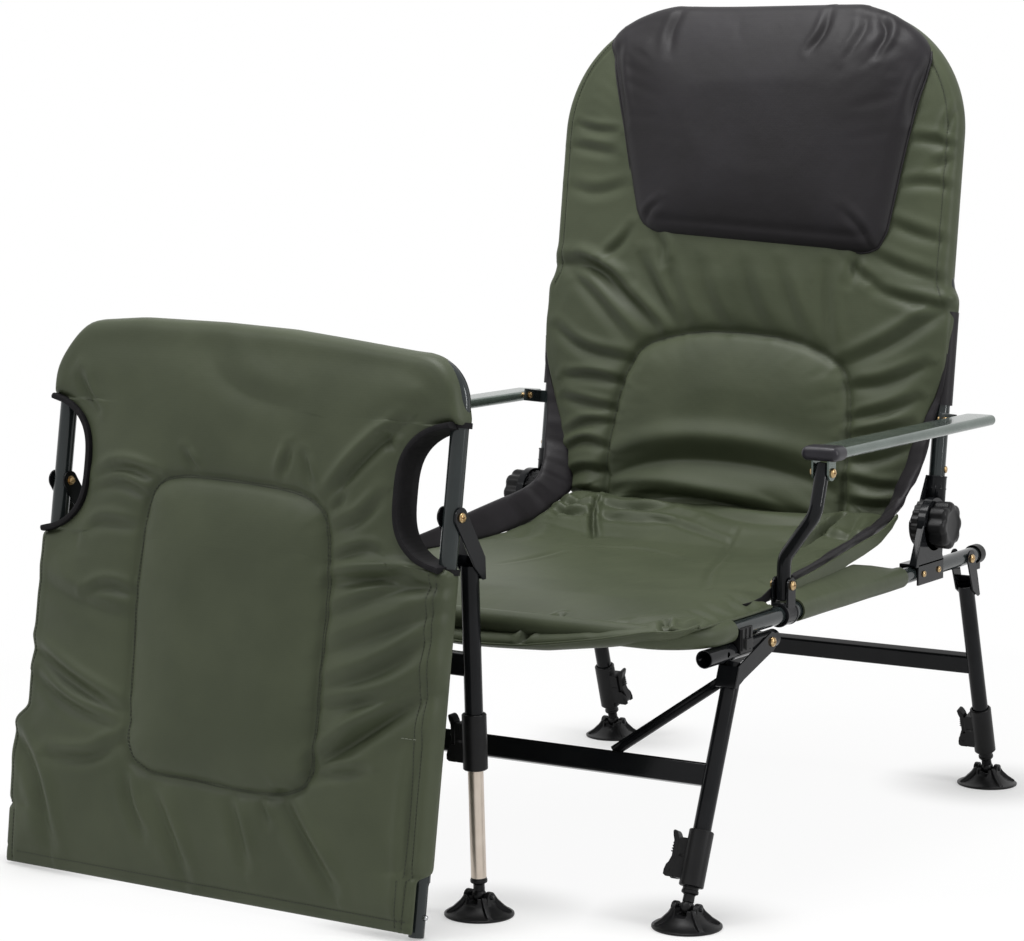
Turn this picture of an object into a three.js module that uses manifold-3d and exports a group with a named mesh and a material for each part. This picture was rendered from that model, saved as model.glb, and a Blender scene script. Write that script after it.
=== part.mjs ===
// A folding fishing chair with a padded cover, a reclining back, armrests on a linkage and four
// telescopic legs with swivelling mud feet, and the footrest that belongs to it, which is off the
// chair and stands by itself on its tube ends and its own pair of legs.
// Millimetres. +Z is up, the chair faces -Y, +X is the right hand of somebody who looks at it.
import * as THREE from "three";
import { mergeVertices } from "three/addons/utils/BufferGeometryUtils.js";
import Module from "manifold-3d";

const wasm = await Module();
wasm.setup();

// Clearances
const restGap = 0.3; // between solids that touch
const runningGap = 0.4; // round a shaft or beside a plate that turns
const overrun = 5; // how far a cutting solid runs past what it cuts
const weldDepth = 0.6; // how far a welded piece sinks into the one it is welded to

// Tubes: all three bent frames and all outer legs are of the same round tube
const tubeRadius = 10;
const tubeWall = 1.2;
const frameHalfWidth = 281; // from the middle plane to the axis of each side tube

// Seat frame: one bent tube, open to the rear
const seatTubeZ = 309;
const seatFrontY = -446;
const seatRearY = 305;
const seatBend = 60;

// Cap on each rear end of the seat frame
const capWall = 1.6;
const capDepth = 12;
const capEnd = 3;
const capCatchWidth = 9;
const capCatchDrop = 8;

// Backrest frame, in the backrest's own frame: its origin is the recline axis
const reclineY = 148.5;
const reclineZ = 366;
const backLean = 0.138; // radians behind upright at rest
const backTubeSetback = 21.8;
const backTubeFoot = 42;
const backTubeTop = 626;
const backBend = 122;
const backNarrowing = 9; // each side tube steps in by this much
const backStepLow = 268;
const backStepHigh = 312;

// Recline hinge
const discRadius = 28;
const discThickness = 8.6;
const discTeeth = 20;
const discToothDepth = 1.6;
const hingeSheet = 2.6;
const hingeBoltRadius = 4;
const hingeNutRadius = 8;
const hingeNutThickness = 4.5;
const hingeRimWidth = 10;
const hingeStrapHalfWidth = 24;
const rimStart = -0.1; // radians, the ends of the rim round the fixed disc
const rimEnd = 4;
const saddleLength = 74;
const saddleForward = 11; // how far the saddle's middle lies ahead of the recline axis
const saddleSkirt = 3; // how far its side plates reach below the tube
const rivetRadius = 3.6;
const rivetHeight = 1.8;
const rivetSpacing = 44;
const armSleeveWall = 1.8;
const armSleeveLength = 17;
const armSleeveLift = 0.8; // from the tube's end up to the sleeve's end
const gussetReach = 16;
const gussetShare = 0.8; // of the disc's radius, the height where the gusset leaves it
const knobRadius = 29;
const knobLobeDepth = 3;
const knobLobes = 8;
const knobLobeSteps = 5;
const knobThickness = 23;
const knobChamfer = 3;

// Armrest linkage. The four pivots form a parallelogram: the support arm is as long and as steep
// as the line from the recline axis to the armrest's rear pivot, so the armrest stays level
const linkRise = 129;
const linkBack = 6;
const armFootY = -235;
const armFootZ = 342;
const armTubeRadius = 8;
const armOutset = 45;
const armStraight = 30; // from the lower pivot up to the outward bend
const armStraightBack = 1;
const armOutFar = 84; // the height where it has reached its full outset
const armBow = 13; // how far it bows forward there
const armEnd = 10; // from a pivot to the end of the arm beyond it
const armBend = 24;
const pivotPinRadius = 3;
const boltHeadRadius = 5.6;
const boltHeadHeight = 4;
const earSheet = 2.5;
const earHalfWidth = 9;
const clampWall = 2.4;
const clampHalfLength = 13;

// Armrest: a flat oval tube with a cap on its front end
const armrestWidth = 42;
const armrestThickness = 13;
const armrestWall = 1.8;
const armrestDrop = 2.5; // from its rear pivot down to its middle
const armrestAhead = 7; // from the front pivot to the tube's front end
const armrestBehind = 50; // from the rear pivot to the tube's rear end
const armrestEndWall = 4;
const capLength = 26;
const armCapWall = 1.8;
const armCapNose = 6;
const lugSheet = 3.5;
const lugHeight = 16;
const lugClearance = 1; // between the lug and the armrest's inner edge

// Footrest sockets: open tubes held under the sides of the seat frame
const socketWall = 1.1;
const socketDrop = 3; // between the two tubes
const socketFrontY = -420;
const socketRearY = -260;
const socketHoleRadius = 3.2;
const socketHoleInset = 38;
const clipLength = 28;
const clipWall = 2.8;
const clipFrontY = -362;
const clipRibs = 3;
const clipRibHeight = 1.2;
const clipSkirt = 2; // how far its sides reach below the socket's axis
const clipRibShare = 0.5; // of the pitch of the ribs

// Leg sets. Lengths along a leg are measured from the centre of the ball at its foot
const legBoreGap = 0.3; // round the inner leg
const innerLegRadius = 8.5;
const bracketSheet = 2;
const bracketLobe = 11;
const bracketSkirt = 42; // how far a bracket runs down the leg from the top of the tube
const bracketInset = 6; // from the leg's axis to the bracket's open edge
const bracketBoltDrop = 14;
const crossbarHeight = 25;
const crossbarDepth = 15;
const crossbarWall = 1.5;
const lockLength = 62;
const lockWall = 2.7;
const lockTubeSeat = 16; // from the lock's lower end up to the end of the outer tube
const lockBoxReach = 8; // how far the box stands off the lock's sleeve
const lockBoxHalfWidth = 8.5;
const lockBoxFoot = 7;
const lockBoxHeight = 44;
const cheekReach = 19;
const cheekHeight = 19;
const cheekThickness = 2.5;
const leverHubRadius = 5;
const leverPinRadius = 2;
const leverHubOut = 13.5; // from the sleeve to the hub's axis
const leverHubUp = 14;
const leverThickness = 4;
const leverLength = 44;
const leverTail = 9;
const leverFlare = 6;
const stemRadius = 5.5;
const stemLength = 18;
const ballRadius = 8;
const ballGap = 0.4;
const crossPinRadius = 1.6;
const footBallHeight = 22;
const footRadius = 38.5;
const footRim = 2.6;
const footSlopeRadius = 22;
const footSlopeHeight = 9;
const footHubRadius = 17.5;
const footHubFoot = 13;
const footHubTop = 29.5;
const footMouthRadius = 14.5;
const footRibs = 4;
const footRibWidth = 6;
const footRibReach = 29;
const footRibHeight = 15;

const frontLegs = {
  name: "front",
  pivotY: -285,
  tilt: -0.394, // radians; the feet stand ahead of the pivots
  offset: -54.5, // from the pivot to the legs' axes
  top: 38.6, // from the pivot down to the top of the tubes
  lift: -6, // how far the bracket rises above the top of the tubes
  webSide: -1,
  crossbarDown: 164.5,
  lockUp: 22, // from the ball up to the lock
  overlap: 150, // of the inner leg in the outer one
  braced: true,
};
const rearLegs = {
  name: "rear",
  pivotY: 262,
  tilt: 0.31,
  offset: 0,
  top: 38,
  lift: 8,
  webSide: 1,
  crossbarDown: 150.2,
  lockUp: 25,
  overlap: 150,
  braced: false,
};
const braceWidth = 12;
const braceThickness = 5;
const braceRibWidth = 3;
const braceRibHeight = 1.5;
const braceFoot = 154; // from the middle plane
const braceTopDown = 22; // from the top of the leg's tube

// Footrest: a bent tube that stands on its two open ends, and a pair of legs behind it
const footrestX = -220.7;
const footrestY = -631.3;
const footrestTurn = -0.049; // radians about the vertical
const footrestLean = 0.1495;
const footrestLength = 608;
const footrestBend = 46;
const footrestPivotUp = 447.5;
const spigotRadius = 8.5;
const spigotLength = 62;
const spigotBore = 7.3;
const footrestLegs = {
  name: "footrest",
  tilt: 0.046,
  offset: 28.8,
  top: 57,
  lift: 8,
  webSide: 1,
  crossbarDown: 166,
  lockUp: 141,
  overlap: 50,
  braced: false,
};
const buttonUp = 22;
const buttonRadius = 2.8;
const buttonProud = 4;
const buttonSeat = 2.2; // from the tube's axis to the button's flange
const buttonFlange = 4;
const buttonFlangeThickness = 1.6;

// Covers: pads with their sleeves, sewn round the tubes
const sleeveWall = 2;
const seatPadFrontY = -462;
const seatPadRearY = 128;
const seatPadInset = 17; // from a side tube's axis to the pad's edge
const seatPadCorner = 76;
const seatPadCornerInset = 43;
const seatPadZ = 316;
const seatPadEdge = 5;
const seatPadCrown = 11;
const seatPadBelly = 6;
const seatSleeveFrontY = -205;
const seatSleeveRearY = 72;
const frontSleeveEndY = -400;
const frontDroop = 30; // from the tube's axis down to the lip
const frontDroopRise = 22; // how much higher the lip is at its ends
const frontDroopDepth = 30; // how far back the lip's underside reaches
const flapInner = 25; // from a side tube's axis, under the pad's edge
const flapOuter = 7;
const flapHalfThickness = 2.5;
const backPadFoot = -22;
const backPadTop = 634;
const backPadLead = 13; // how far the pad's middle lies ahead of the tubes
const backPadEdge = 6;
const backPadCrown = 15;
const backPadNutGap = 19.8; // from the pad's lower sides to the hinge nuts
const backPadMidInset = 17; // from a side tube's axis where the sleeve starts
const backPadOverlap = 3; // how far the pad reaches beyond the tube's axis
const backSleeveFoot = 146;
const backPadWiden = 20;
const lumbarHalfWidth = 176;
const lumbarTop = 223;
const lumbarBase = 70;
const lumbarRaise = 6;
const seamWidth = 12;
const seamDepth = 5;
const pillowTopHalf = 165;
const pillowShoulderHalf = 223;
const pillowFootHalf = 163;
const pillowFoot = 344;
const pillowShoulder = 585;
const pillowTop = 636;
const pillowThickness = 20;
const pillowEdge = 5;
const pillowLead = 24; // how far its middle lies ahead of the tubes
const footrestPadFoot = 5;
const footrestPadTop = 618;
const footrestPadLead = 17;
const footrestPadEdge = 5;
const footrestPadCrown = 8;
const footrestPadOverlap = 3; // how far the pad reaches beyond the tube's axis
const footrestPadCorner = 50;
const footrestSleeveFoot = 70;
const cutoutFoot = 372;
const cutoutTop = 560;
const cutoutDepth = 76;
const panelHalfWidth = 123;
const panelFoot = 138;
const panelTop = 450;

// Counts
const tubeSides = 10;
const boreSides = 8;
const bendSteps = 4;
const turnedSides = 14;
const pinSides = 6;

const painted = { color: 0x3c4340, roughness: 0.35, metalness: 0.5 };
const black = { color: 0x17181b, roughness: 0.38, metalness: 0.35 };
const plastic = { color: 0x1c1c1e, roughness: 0.6, metalness: 0 };
const alloy = { color: 0xc0b4a6, roughness: 0.35, metalness: 0.9 };
const armPaint = { color: 0x5a6660, roughness: 0.3, metalness: 0.6 };
const green = { color: 0x474d3c, roughness: 0.85, metalness: 0 };
const charcoal = { color: 0x2e2b30, roughness: 0.8, metalness: 0 };
const gold = { color: 0xb9a05a, roughness: 0.4, metalness: 0.8 };

// Solids

// A closed geometry as a solid that can be joined and cut.
function solidOf(geometry) {
  const bare = geometry.clone();
  bare.deleteAttribute("normal");
  bare.deleteAttribute("uv");
  const merged = mergeVertices(bare, 1e-3);
  return new wasm.Manifold(
    new wasm.Mesh({
      numProp: 3,
      vertProperties: new Float32Array(merged.attributes.position.array),
      triVerts: new Uint32Array(merged.index.array),
    }),
  );
}

function geometryOf(solid) {
  const mesh = solid.getMesh();
  const geometry = new THREE.BufferGeometry();
  geometry.setAttribute("position", new THREE.BufferAttribute(mesh.vertProperties, 3));
  geometry.setIndex(new THREE.BufferAttribute(mesh.triVerts, 1));
  geometry.computeVertexNormals();
  return geometry;
}

const join = (...solids) => solids.reduce((sum, solid) => sum.add(solid));
const cut = (solid, ...tools) => tools.reduce((rest, tool) => rest.subtract(tool), solid);

// A box between two opposite corners.
function block(low, high) {
  const size = new THREE.Vector3().subVectors(high, low);
  const middle = new THREE.Vector3().addVectors(low, high).divideScalar(2);
  const geometry = new THREE.BoxGeometry(size.x, size.y, size.z);
  return solidOf(geometry.translate(middle.x, middle.y, middle.z));
}

const at = (x, y, z) => new THREE.Vector3(x, y, z);
// The corner radius of a many-sided bore that nowhere comes closer to its axis than a radius.
const bored = (radius, sides = tubeSides) => radius / Math.cos(Math.PI / sides);

// A round bar from one point to another.
function bar(from, to, radius, sides = tubeSides) {
  const along = new THREE.Vector3().subVectors(to, from);
  const geometry = new THREE.CylinderGeometry(radius, radius, along.length(), sides);
  const turn = new THREE.Quaternion().setFromUnitVectors(at(0, 1, 0), along.clone().normalize());
  const middle = new THREE.Vector3().addVectors(from, to).divideScalar(2);
  return solidOf(geometry.applyQuaternion(turn).translate(middle.x, middle.y, middle.z));
}

// A solid of revolution about Z. The profile's points are [radius, height] pairs that start and
// end on the axis and go up the outside.
function turned(profile, sides = turnedSides) {
  const points = profile.map(([radius, height]) => new THREE.Vector2(radius, height));
  return solidOf(new THREE.LatheGeometry(points, sides).rotateX(Math.PI / 2));
}

// A tube's centre line: straight runs between rounded corners, with a ring only where it bends.
class BentLine extends THREE.Curve {
  constructor(corners, bend) {
    super();
    this.knots = [corners[0]];
    for (let i = 1; i < corners.length - 1; i++) {
      const back = new THREE.Vector3().subVectors(corners[i - 1], corners[i]).normalize();
      const ahead = new THREE.Vector3().subVectors(corners[i + 1], corners[i]).normalize();
      const half = back.angleTo(ahead) / 2;
      const middle = new THREE.Vector3().addVectors(back, ahead).normalize();
      const centre = middle.multiplyScalar(bend / Math.sin(half)).add(corners[i]);
      const start = back.clone().multiplyScalar(bend / Math.tan(half)).add(corners[i]).sub(centre);
      const axis = new THREE.Vector3().crossVectors(ahead, back).normalize();
      const turn = Math.PI - 2 * half;
      const steps = Math.max(1, Math.round((bendSteps * turn) / (Math.PI / 2)));
      for (let step = 0; step <= steps; step++) {
        const angle = (turn * step) / steps;
        this.knots.push(start.clone().applyAxisAngle(axis, angle).add(centre));
      }
    }
    this.knots.push(corners[corners.length - 1]);
  }
  getPoint(t, target = new THREE.Vector3()) {
    const place = Math.min(Math.max(t, 0), 1) * (this.knots.length - 1);
    const index = Math.min(Math.floor(place + 1e-9), this.knots.length - 2);
    return target.lerpVectors(this.knots[index], this.knots[index + 1], place - index);
  }
  getUtoTmapping(u) {
    return u;
  }
  getTangent(t, target = new THREE.Vector3()) {
    const last = this.knots.length - 1;
    const index = Math.round(Math.min(Math.max(t, 0), 1) * last);
    const run = (i) => new THREE.Vector3().subVectors(this.knots[i + 1], this.knots[i]).normalize();
    target.set(0, 0, 0);
    if (index > 0) target.add(run(index - 1));
    if (index < last) target.add(run(index));
    return target.normalize();
  }
}

function disc(radius, sides) {
  const shape = new THREE.Shape();
  for (let i = 0; i < sides; i++) {
    const angle = (2 * Math.PI * (i + 1 / 2)) / sides;
    const point = [radius * Math.cos(angle), radius * Math.sin(angle)];
    if (i) shape.lineTo(...point);
    else shape.moveTo(...point);
  }
  shape.closePath();
  return shape;
}

// A round bar along a bent line, and a tube with its bore.
function bentBar(line, radius, sides = tubeSides) {
  const steps = line.knots.length - 1;
  const options = { steps, extrudePath: line, bevelEnabled: false };
  return solidOf(new THREE.ExtrudeGeometry(disc(radius, sides), options));
}

function bentTube(line, radius, wall) {
  const shape = disc(radius, tubeSides);
  shape.holes.push(disc(radius - wall, boreSides));
  const options = { steps: line.knots.length - 1, extrudePath: line, bevelEnabled: false };
  return solidOf(new THREE.ExtrudeGeometry(shape, options));
}

// A plate square to X: its outline is in Y and Z, and it fills the space from one x to another.
function plateX(outline, fromX, toX) {
  const shape = new THREE.Shape(outline.map(([y, z]) => new THREE.Vector2(y, z)));
  const options = { depth: toX - fromX, bevelEnabled: false, curveSegments: bendSteps };
  const geometry = new THREE.ExtrudeGeometry(shape, options);
  const turn = new THREE.Matrix4().makeBasis(at(0, 1, 0), at(0, 0, 1), at(1, 0, 0));
  return solidOf(geometry.applyMatrix4(turn).translate(fromX, 0, 0));
}

// The points of an arc as [y, z] pairs.
function arc(y, z, radius, fromAngle, toAngle, steps) {
  return Array.from({ length: steps + 1 }, (_, i) => {
    const angle = fromAngle + ((toAngle - fromAngle) * i) / steps;
    return [y + radius * Math.cos(angle), z + radius * Math.sin(angle)];
  });
}

// A bolt along X through a pivot, with a head at both ends.
function boltX(x, y, z, halfGrip, radius = pivotPinRadius) {
  const outer = halfGrip + boltHeadHeight;
  return join(
    bar(at(x - outer + weldDepth, y, z), at(x + outer - weldDepth, y, z), radius, pinSides),
    bar(at(x - outer, y, z), at(x - halfGrip + weldDepth, y, z), boltHeadRadius, pinSides),
    bar(at(x + halfGrip - weldDepth, y, z), at(x + outer, y, z), boltHeadRadius, pinSides),
  );
}

// A closed quilted form on a grid: place(u, v, side) gives a point of its upper or lower skin.
function quilted(columns, rows, place) {
  const points = [];
  const faces = [];
  const index = (side, i, j) => (side * (rows + 1) + j) * (columns + 1) + i;
  for (const side of [0, 1])
    for (let j = 0; j <= rows; j++)
      for (let i = 0; i <= columns; i++)
        points.push(...place(i / columns, j / rows, side ? -1 : 1).toArray());
  const quad = (a, b, c, d) => faces.push(a, b, c, a, c, d);
  for (let j = 0; j < rows; j++)
    for (let i = 0; i < columns; i++) {
      quad(index(0, i, j), index(0, i + 1, j), index(0, i + 1, j + 1), index(0, i, j + 1));
      quad(index(1, i, j), index(1, i, j + 1), index(1, i + 1, j + 1), index(1, i + 1, j));
    }
  for (let i = 0; i < columns; i++) {
    quad(index(0, i + 1, 0), index(0, i, 0), index(1, i, 0), index(1, i + 1, 0));
    quad(index(0, i, rows), index(0, i + 1, rows), index(1, i + 1, rows), index(1, i, rows));
  }
  for (let j = 0; j < rows; j++) {
    quad(index(0, 0, j), index(0, 0, j + 1), index(1, 0, j + 1), index(1, 0, j));
    quad(index(0, columns, j + 1), index(0, columns, j), index(1, columns, j), index(1, columns, j + 1));
  }
  const geometry = new THREE.BufferGeometry();
  geometry.setAttribute("position", new THREE.Float32BufferAttribute(points, 3));
  geometry.setIndex(faces);
  return solidOf(geometry);
}

// How full a pad is at a place: none at its edge, all of it in the middle.
const fullnessShare = 0.45;
const full = (share) => Math.pow(Math.max(0, 1 - Math.pow(Math.abs(2 * share - 1), 4)), fullnessShare);
// How deep a sewn line draws the pad in at a distance from it.
const drawn = (distance) => seamDepth * Math.exp(-Math.pow(distance / seamWidth, 2));

function mesh(name, solid, look) {
  const piece = new THREE.Mesh(geometryOf(solid), new THREE.MeshStandardMaterial(look));
  piece.name = name;
  return piece;
}

function group(x, y, z) {
  const made = new THREE.Group();
  made.position.set(x, y, z);
  return made;
}

const sides = [
  { side: "right", sign: 1 },
  { side: "left", sign: -1 },
];
const mirrored = (solid, sign) => (sign > 0 ? solid : solid.mirror([1, 0, 0]));

const chair = group(0, 0, 0);
chair.name = "fishing_chair";
const axisX = at(1, 0, 0);

// Seat frame

const seatLine = new BentLine(
  [
    at(frameHalfWidth, seatRearY, seatTubeZ),
    at(frameHalfWidth, seatFrontY, seatTubeZ),
    at(-frameHalfWidth, seatFrontY, seatTubeZ),
    at(-frameHalfWidth, seatRearY, seatTubeZ),
  ],
  seatBend,
);

const pinHole = bored(pivotPinRadius + runningGap, pinSides);
const tubeBore = bored(tubeRadius + restGap); // of a ring or sleeve round one of the tubes

// A hole for a pivot pin through both side tubes.
function crossHole(y, z) {
  const reach = frameHalfWidth + 2 * tubeRadius;
  return bar(at(-reach, y, z), at(reach, y, z), pinHole, pinSides);
}

// A bar along Y on the axis of the right-hand side tube, at a height.
function sideBar(fromY, toY, z, radius, sides = tubeSides) {
  return bar(at(frameHalfWidth, fromY, z), at(frameHalfWidth, toY, z), radius, sides);
}

const seatTube = bentTube(seatLine, tubeRadius, tubeWall);
chair.add(mesh("seat_frame", cut(seatTube, crossHole(rearLegs.pivotY, seatTubeZ)), painted));

// Footrest sockets and the clips that hold them under the seat tubes

const socketZ = seatTubeZ - 2 * tubeRadius - socketDrop;

function socketTube() {
  const holeY = socketFrontY + socketHoleInset;
  const outside = at(frameHalfWidth + tubeRadius + overrun, holeY, socketZ);
  return cut(
    sideBar(socketFrontY, socketRearY, socketZ, tubeRadius),
    sideBar(socketFrontY - overrun, socketRearY + overrun, socketZ, tubeRadius - socketWall),
    bar(at(frameHalfWidth, holeY, socketZ), outside, socketHoleRadius, pinSides),
    crossHole(frontLegs.pivotY, socketZ),
  );
}

function socketClip() {
  const half = tubeBore + clipWall;
  const low = socketZ - clipSkirt;
  const rear = clipFrontY + clipLength;
  const pitch = clipLength / clipRibs;
  const ribs = Array.from({ length: clipRibs }, (_, i) => {
    const y = clipFrontY + pitch * (i + clipRibShare / 2);
    return block(
      at(frameHalfWidth - half - clipRibHeight, y, low + clipRibHeight),
      at(frameHalfWidth + half + clipRibHeight, y + pitch * clipRibShare, seatTubeZ),
    );
  });
  const bore = (z) => sideBar(clipFrontY - overrun, rear + overrun, z, tubeBore);
  const body = join(
    sideBar(clipFrontY, rear, seatTubeZ, half),
    block(at(frameHalfWidth - half, clipFrontY, low), at(frameHalfWidth + half, rear, seatTubeZ)),
  );
  return cut(join(body, ...ribs), bore(seatTubeZ), bore(socketZ));
}

// Caps on the rear ends of the seat tubes

function rearCap() {
  const outer = tubeBore + capWall;
  const start = seatRearY - capDepth;
  const end = seatRearY + capEnd;
  const low = seatTubeZ - outer;
  const catchBlock = block(
    at(frameHalfWidth - capCatchWidth / 2, start, low - capCatchDrop + capWall),
    at(frameHalfWidth + capCatchWidth / 2, end, low + capWall),
  );
  return cut(
    join(sideBar(start, end, seatTubeZ, outer), catchBlock),
    sideBar(start - overrun, seatRearY + restGap, seatTubeZ, tubeBore),
  );
}

// Recline hinge: the seat's bracket and disc, the back's arm and disc, and the clamping knob.
// From inboard to outboard they are the back's arm, its disc, the fixed disc and the bracket.

const bracketPlateX = frameHalfWidth + tubeRadius + restGap;
const bracketOuterX = bracketPlateX + hingeSheet;
const outerDiscX = bracketPlateX - restGap - discThickness;
const innerDiscX = outerDiscX - restGap - discThickness;
const armPlateOuter = innerDiscX - restGap;
const armPlateInner = armPlateOuter - hingeSheet;
const knobX = bracketOuterX + restGap;

// A bar along X round a hinge axis at a place in Y and Z.
function shaftX(fromX, toX, y, z, radius = bored(hingeBoltRadius + runningGap, pinSides)) {
  return bar(at(fromX, y, z), at(toX, y, z), radius, pinSides);
}

function hingeBracket() {
  const rimStep = (rimEnd - rimStart) / turnedSides;
  const rim = (discRadius + discToothDepth + restGap) / Math.cos(rimStep / 2);
  const outerRim = rim + hingeSheet;
  const middle = reclineY - saddleForward;
  const start = middle - saddleLength / 2;
  const end = start + saddleLength;
  const top = seatTubeZ + tubeRadius + restGap + hingeSheet;
  const low = seatTubeZ - tubeRadius - saddleSkirt;
  const innerX = 2 * frameHalfWidth - bracketOuterX;
  const saddle = cut(
    block(at(innerX, start, low), at(bracketOuterX, end, top)),
    block(
      at(innerX + hingeSheet, start - overrun, low - overrun),
      at(bracketPlateX, end + overrun, top - hingeSheet),
    ),
  );
  const head = arc(reclineY, reclineZ, outerRim, 0, 2 * Math.PI, turnedSides).slice(0, -1);
  const strap = [
    [middle - hingeStrapHalfWidth, top - hingeSheet],
    [middle + hingeStrapHalfWidth, top - hingeSheet],
    [reclineY + hingeStrapHalfWidth, reclineZ],
    [reclineY - hingeStrapHalfWidth, reclineZ],
  ];
  const rimOut = arc(reclineY, reclineZ, outerRim, rimStart, rimEnd, turnedSides);
  const rimIn = arc(reclineY, reclineZ, rim, rimEnd, rimStart, turnedSides);
  const rivets = [-1, 1].map((way) => {
    const y = middle + (way * rivetSpacing) / 2;
    return shaftX(bracketOuterX - weldDepth, bracketOuterX + rivetHeight, y, seatTubeZ, rivetRadius);
  });
  const whole = join(
    saddle,
    plateX(head, bracketPlateX, bracketOuterX),
    plateX(strap, bracketPlateX, bracketOuterX),
    plateX([...rimOut, ...rimIn], bracketOuterX - hingeRimWidth, bracketOuterX),
    ...rivets,
  );
  return cut(whole, shaftX(innerX, bracketOuterX + overrun, reclineY, reclineZ));
}

function hingeDisc(fromX, y, z) {
  const teeth = Array.from({ length: 2 * discTeeth }, (_, i) => {
    const angle = (Math.PI * i) / discTeeth;
    const radius = discRadius + (i % 2) * discToothDepth;
    return [y + radius * Math.cos(angle), z + radius * Math.sin(angle)];
  });
  const toX = fromX + discThickness;
  return cut(plateX(teeth, fromX, toX), shaftX(fromX - overrun, toX + overrun, y, z));
}

function clampKnob() {
  const count = knobLobes * knobLobeSteps;
  const lobed = (inset) =>
    Array.from({ length: count }, (_, i) => {
      const angle = (2 * Math.PI * i) / count;
      const wave = Math.pow(Math.sin((knobLobes * angle) / 2), 4);
      const radius = knobRadius - inset - knobLobeDepth * wave;
      return [radius * Math.cos(angle), radius * Math.sin(angle)];
    });
  const face = knobX + knobThickness;
  const nutX = armPlateInner - restGap;
  return join(
    plateX(lobed(0), knobX, face - knobChamfer),
    plateX(lobed(knobChamfer), face - knobChamfer - weldDepth, face),
    shaftX(nutX - hingeNutThickness, knobX + weldDepth, 0, 0, hingeBoltRadius),
    shaftX(nutX - hingeNutThickness, nutX, 0, 0, hingeNutRadius),
  );
}

for (const { side, sign } of sides) {
  chair.add(mesh(`footrest_socket_${side}`, mirrored(socketTube(), sign), black));
  chair.add(mesh(`socket_clip_${side}`, mirrored(socketClip(), sign), plastic));
  chair.add(mesh(`seat_tube_cap_${side}`, mirrored(rearCap(), sign), plastic));
  chair.add(mesh(`seat_hinge_bracket_${side}`, mirrored(hingeBracket(), sign), black));
  const fixedDisc = hingeDisc(outerDiscX, reclineY, reclineZ);
  chair.add(mesh(`seat_hinge_disc_${side}`, mirrored(fixedDisc, sign), plastic));
  const knobPivot = group(0, reclineY, reclineZ);
  knobPivot.name = `recline_knob_${side}_pivot`;
  knobPivot.add(mesh(`recline_knob_${side}`, mirrored(clampKnob(), sign), plastic));
  chair.add(knobPivot);
}

// Support arms of the armrests, with the clamps that hold them on the seat tubes

const forkHalf = armTubeRadius + runningGap; // inside a fork that holds the end of a support arm

function armClamp() {
  const start = armFootY - clampHalfLength;
  const end = armFootY + clampHalfLength;
  const ring = sideBar(start, end, seatTubeZ, tubeBore + clampWall);
  const outline = [
    [armFootY - earHalfWidth, seatTubeZ + tubeRadius / 2],
    [armFootY + earHalfWidth, seatTubeZ + tubeRadius / 2],
    ...arc(armFootY, armFootZ, earHalfWidth, 0, Math.PI, 2 * bendSteps),
  ];
  const ear = (from) => plateX(outline, frameHalfWidth + from, frameHalfWidth + from + earSheet);
  return join(
    cut(
      join(ring, ear(forkHalf), ear(-forkHalf - earSheet)),
      sideBar(start - overrun, end + overrun, seatTubeZ, tubeBore),
    ),
    boltX(frameHalfWidth, armFootY, armFootZ, forkHalf + earSheet),
  );
}

// The support arm in its own frame, whose origin is its lower pivot.
function supportArm() {
  const line = new BentLine(
    [
      at(0, 0, -armEnd),
      at(0, armStraightBack, armStraight),
      at(armOutset, -armBow, armOutFar),
      at(armOutset, linkBack, linkRise + armEnd),
    ],
    armBend,
  );
  const hole = (x, y, z) =>
    shaftX(x - 2 * tubeRadius, x + 2 * tubeRadius, y, z, pinHole);
  return cut(bentBar(line, armTubeRadius), hole(0, 0, 0), hole(armOutset, linkBack, linkRise));
}

for (const { side, sign } of sides) {
  chair.add(mesh(`arm_clamp_${side}`, mirrored(armClamp(), sign), black));
  const pivot = group(sign * frameHalfWidth, armFootY, armFootZ);
  pivot.name = `support_arm_${side}_pivot`;
  pivot.add(mesh(`support_arm_${side}`, mirrored(supportArm(), sign), black));
  chair.add(pivot);
}

// Backrest, in a group that leans back about the recline axis

const backrest = group(0, reclineY, reclineZ);
backrest.name = "backrest_pivot";
backrest.rotation.x = -backLean;
chair.add(backrest);

const backTopHalf = frameHalfWidth - backNarrowing;
const backLine = new BentLine(
  [
    at(frameHalfWidth, backTubeSetback, backTubeFoot),
    at(frameHalfWidth, backTubeSetback, backStepLow),
    at(backTopHalf, backTubeSetback, backStepHigh),
    at(backTopHalf, backTubeSetback, backTubeTop),
    at(-backTopHalf, backTubeSetback, backTubeTop),
    at(-backTopHalf, backTubeSetback, backStepHigh),
    at(-frameHalfWidth, backTubeSetback, backStepLow),
    at(-frameHalfWidth, backTubeSetback, backTubeFoot),
  ],
  backBend,
);

// The armrest's rear pivot, in the leaning frame of the backrest, and the lug that holds it
const rearPivot = at(0, linkBack, linkRise).applyAxisAngle(axisX, backLean);
const armrestX = frameHalfWidth + armOutset;
const lugX = armrestX - armrestWidth / 2 - lugClearance - boltHeadHeight;

function armrestLug() {
  const low = rearPivot.z - lugHeight / 2;
  const high = rearPivot.z + lugHeight / 2;
  const ahead = rearPivot.y - lugHeight / 2;
  const start = backTubeSetback - tubeRadius / 2;
  const behind = backTubeSetback + tubeRadius / 2;
  return cut(
    join(
      block(at(frameHalfWidth, start, low), at(lugX, behind, high)),
      block(at(lugX - lugSheet, ahead, low), at(lugX, behind, high)),
    ),
    shaftX(lugX - lugSheet - overrun, lugX + overrun, rearPivot.y, rearPivot.z, pinHole),
  );
}

const lug = armrestLug();
const backFrame = cut(
  join(bentTube(backLine, tubeRadius, tubeWall), lug, mirrored(lug, -1)),
  bentBar(backLine, tubeRadius - tubeWall, boreSides),
);
backrest.add(mesh("back_frame", backFrame, painted));

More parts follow.
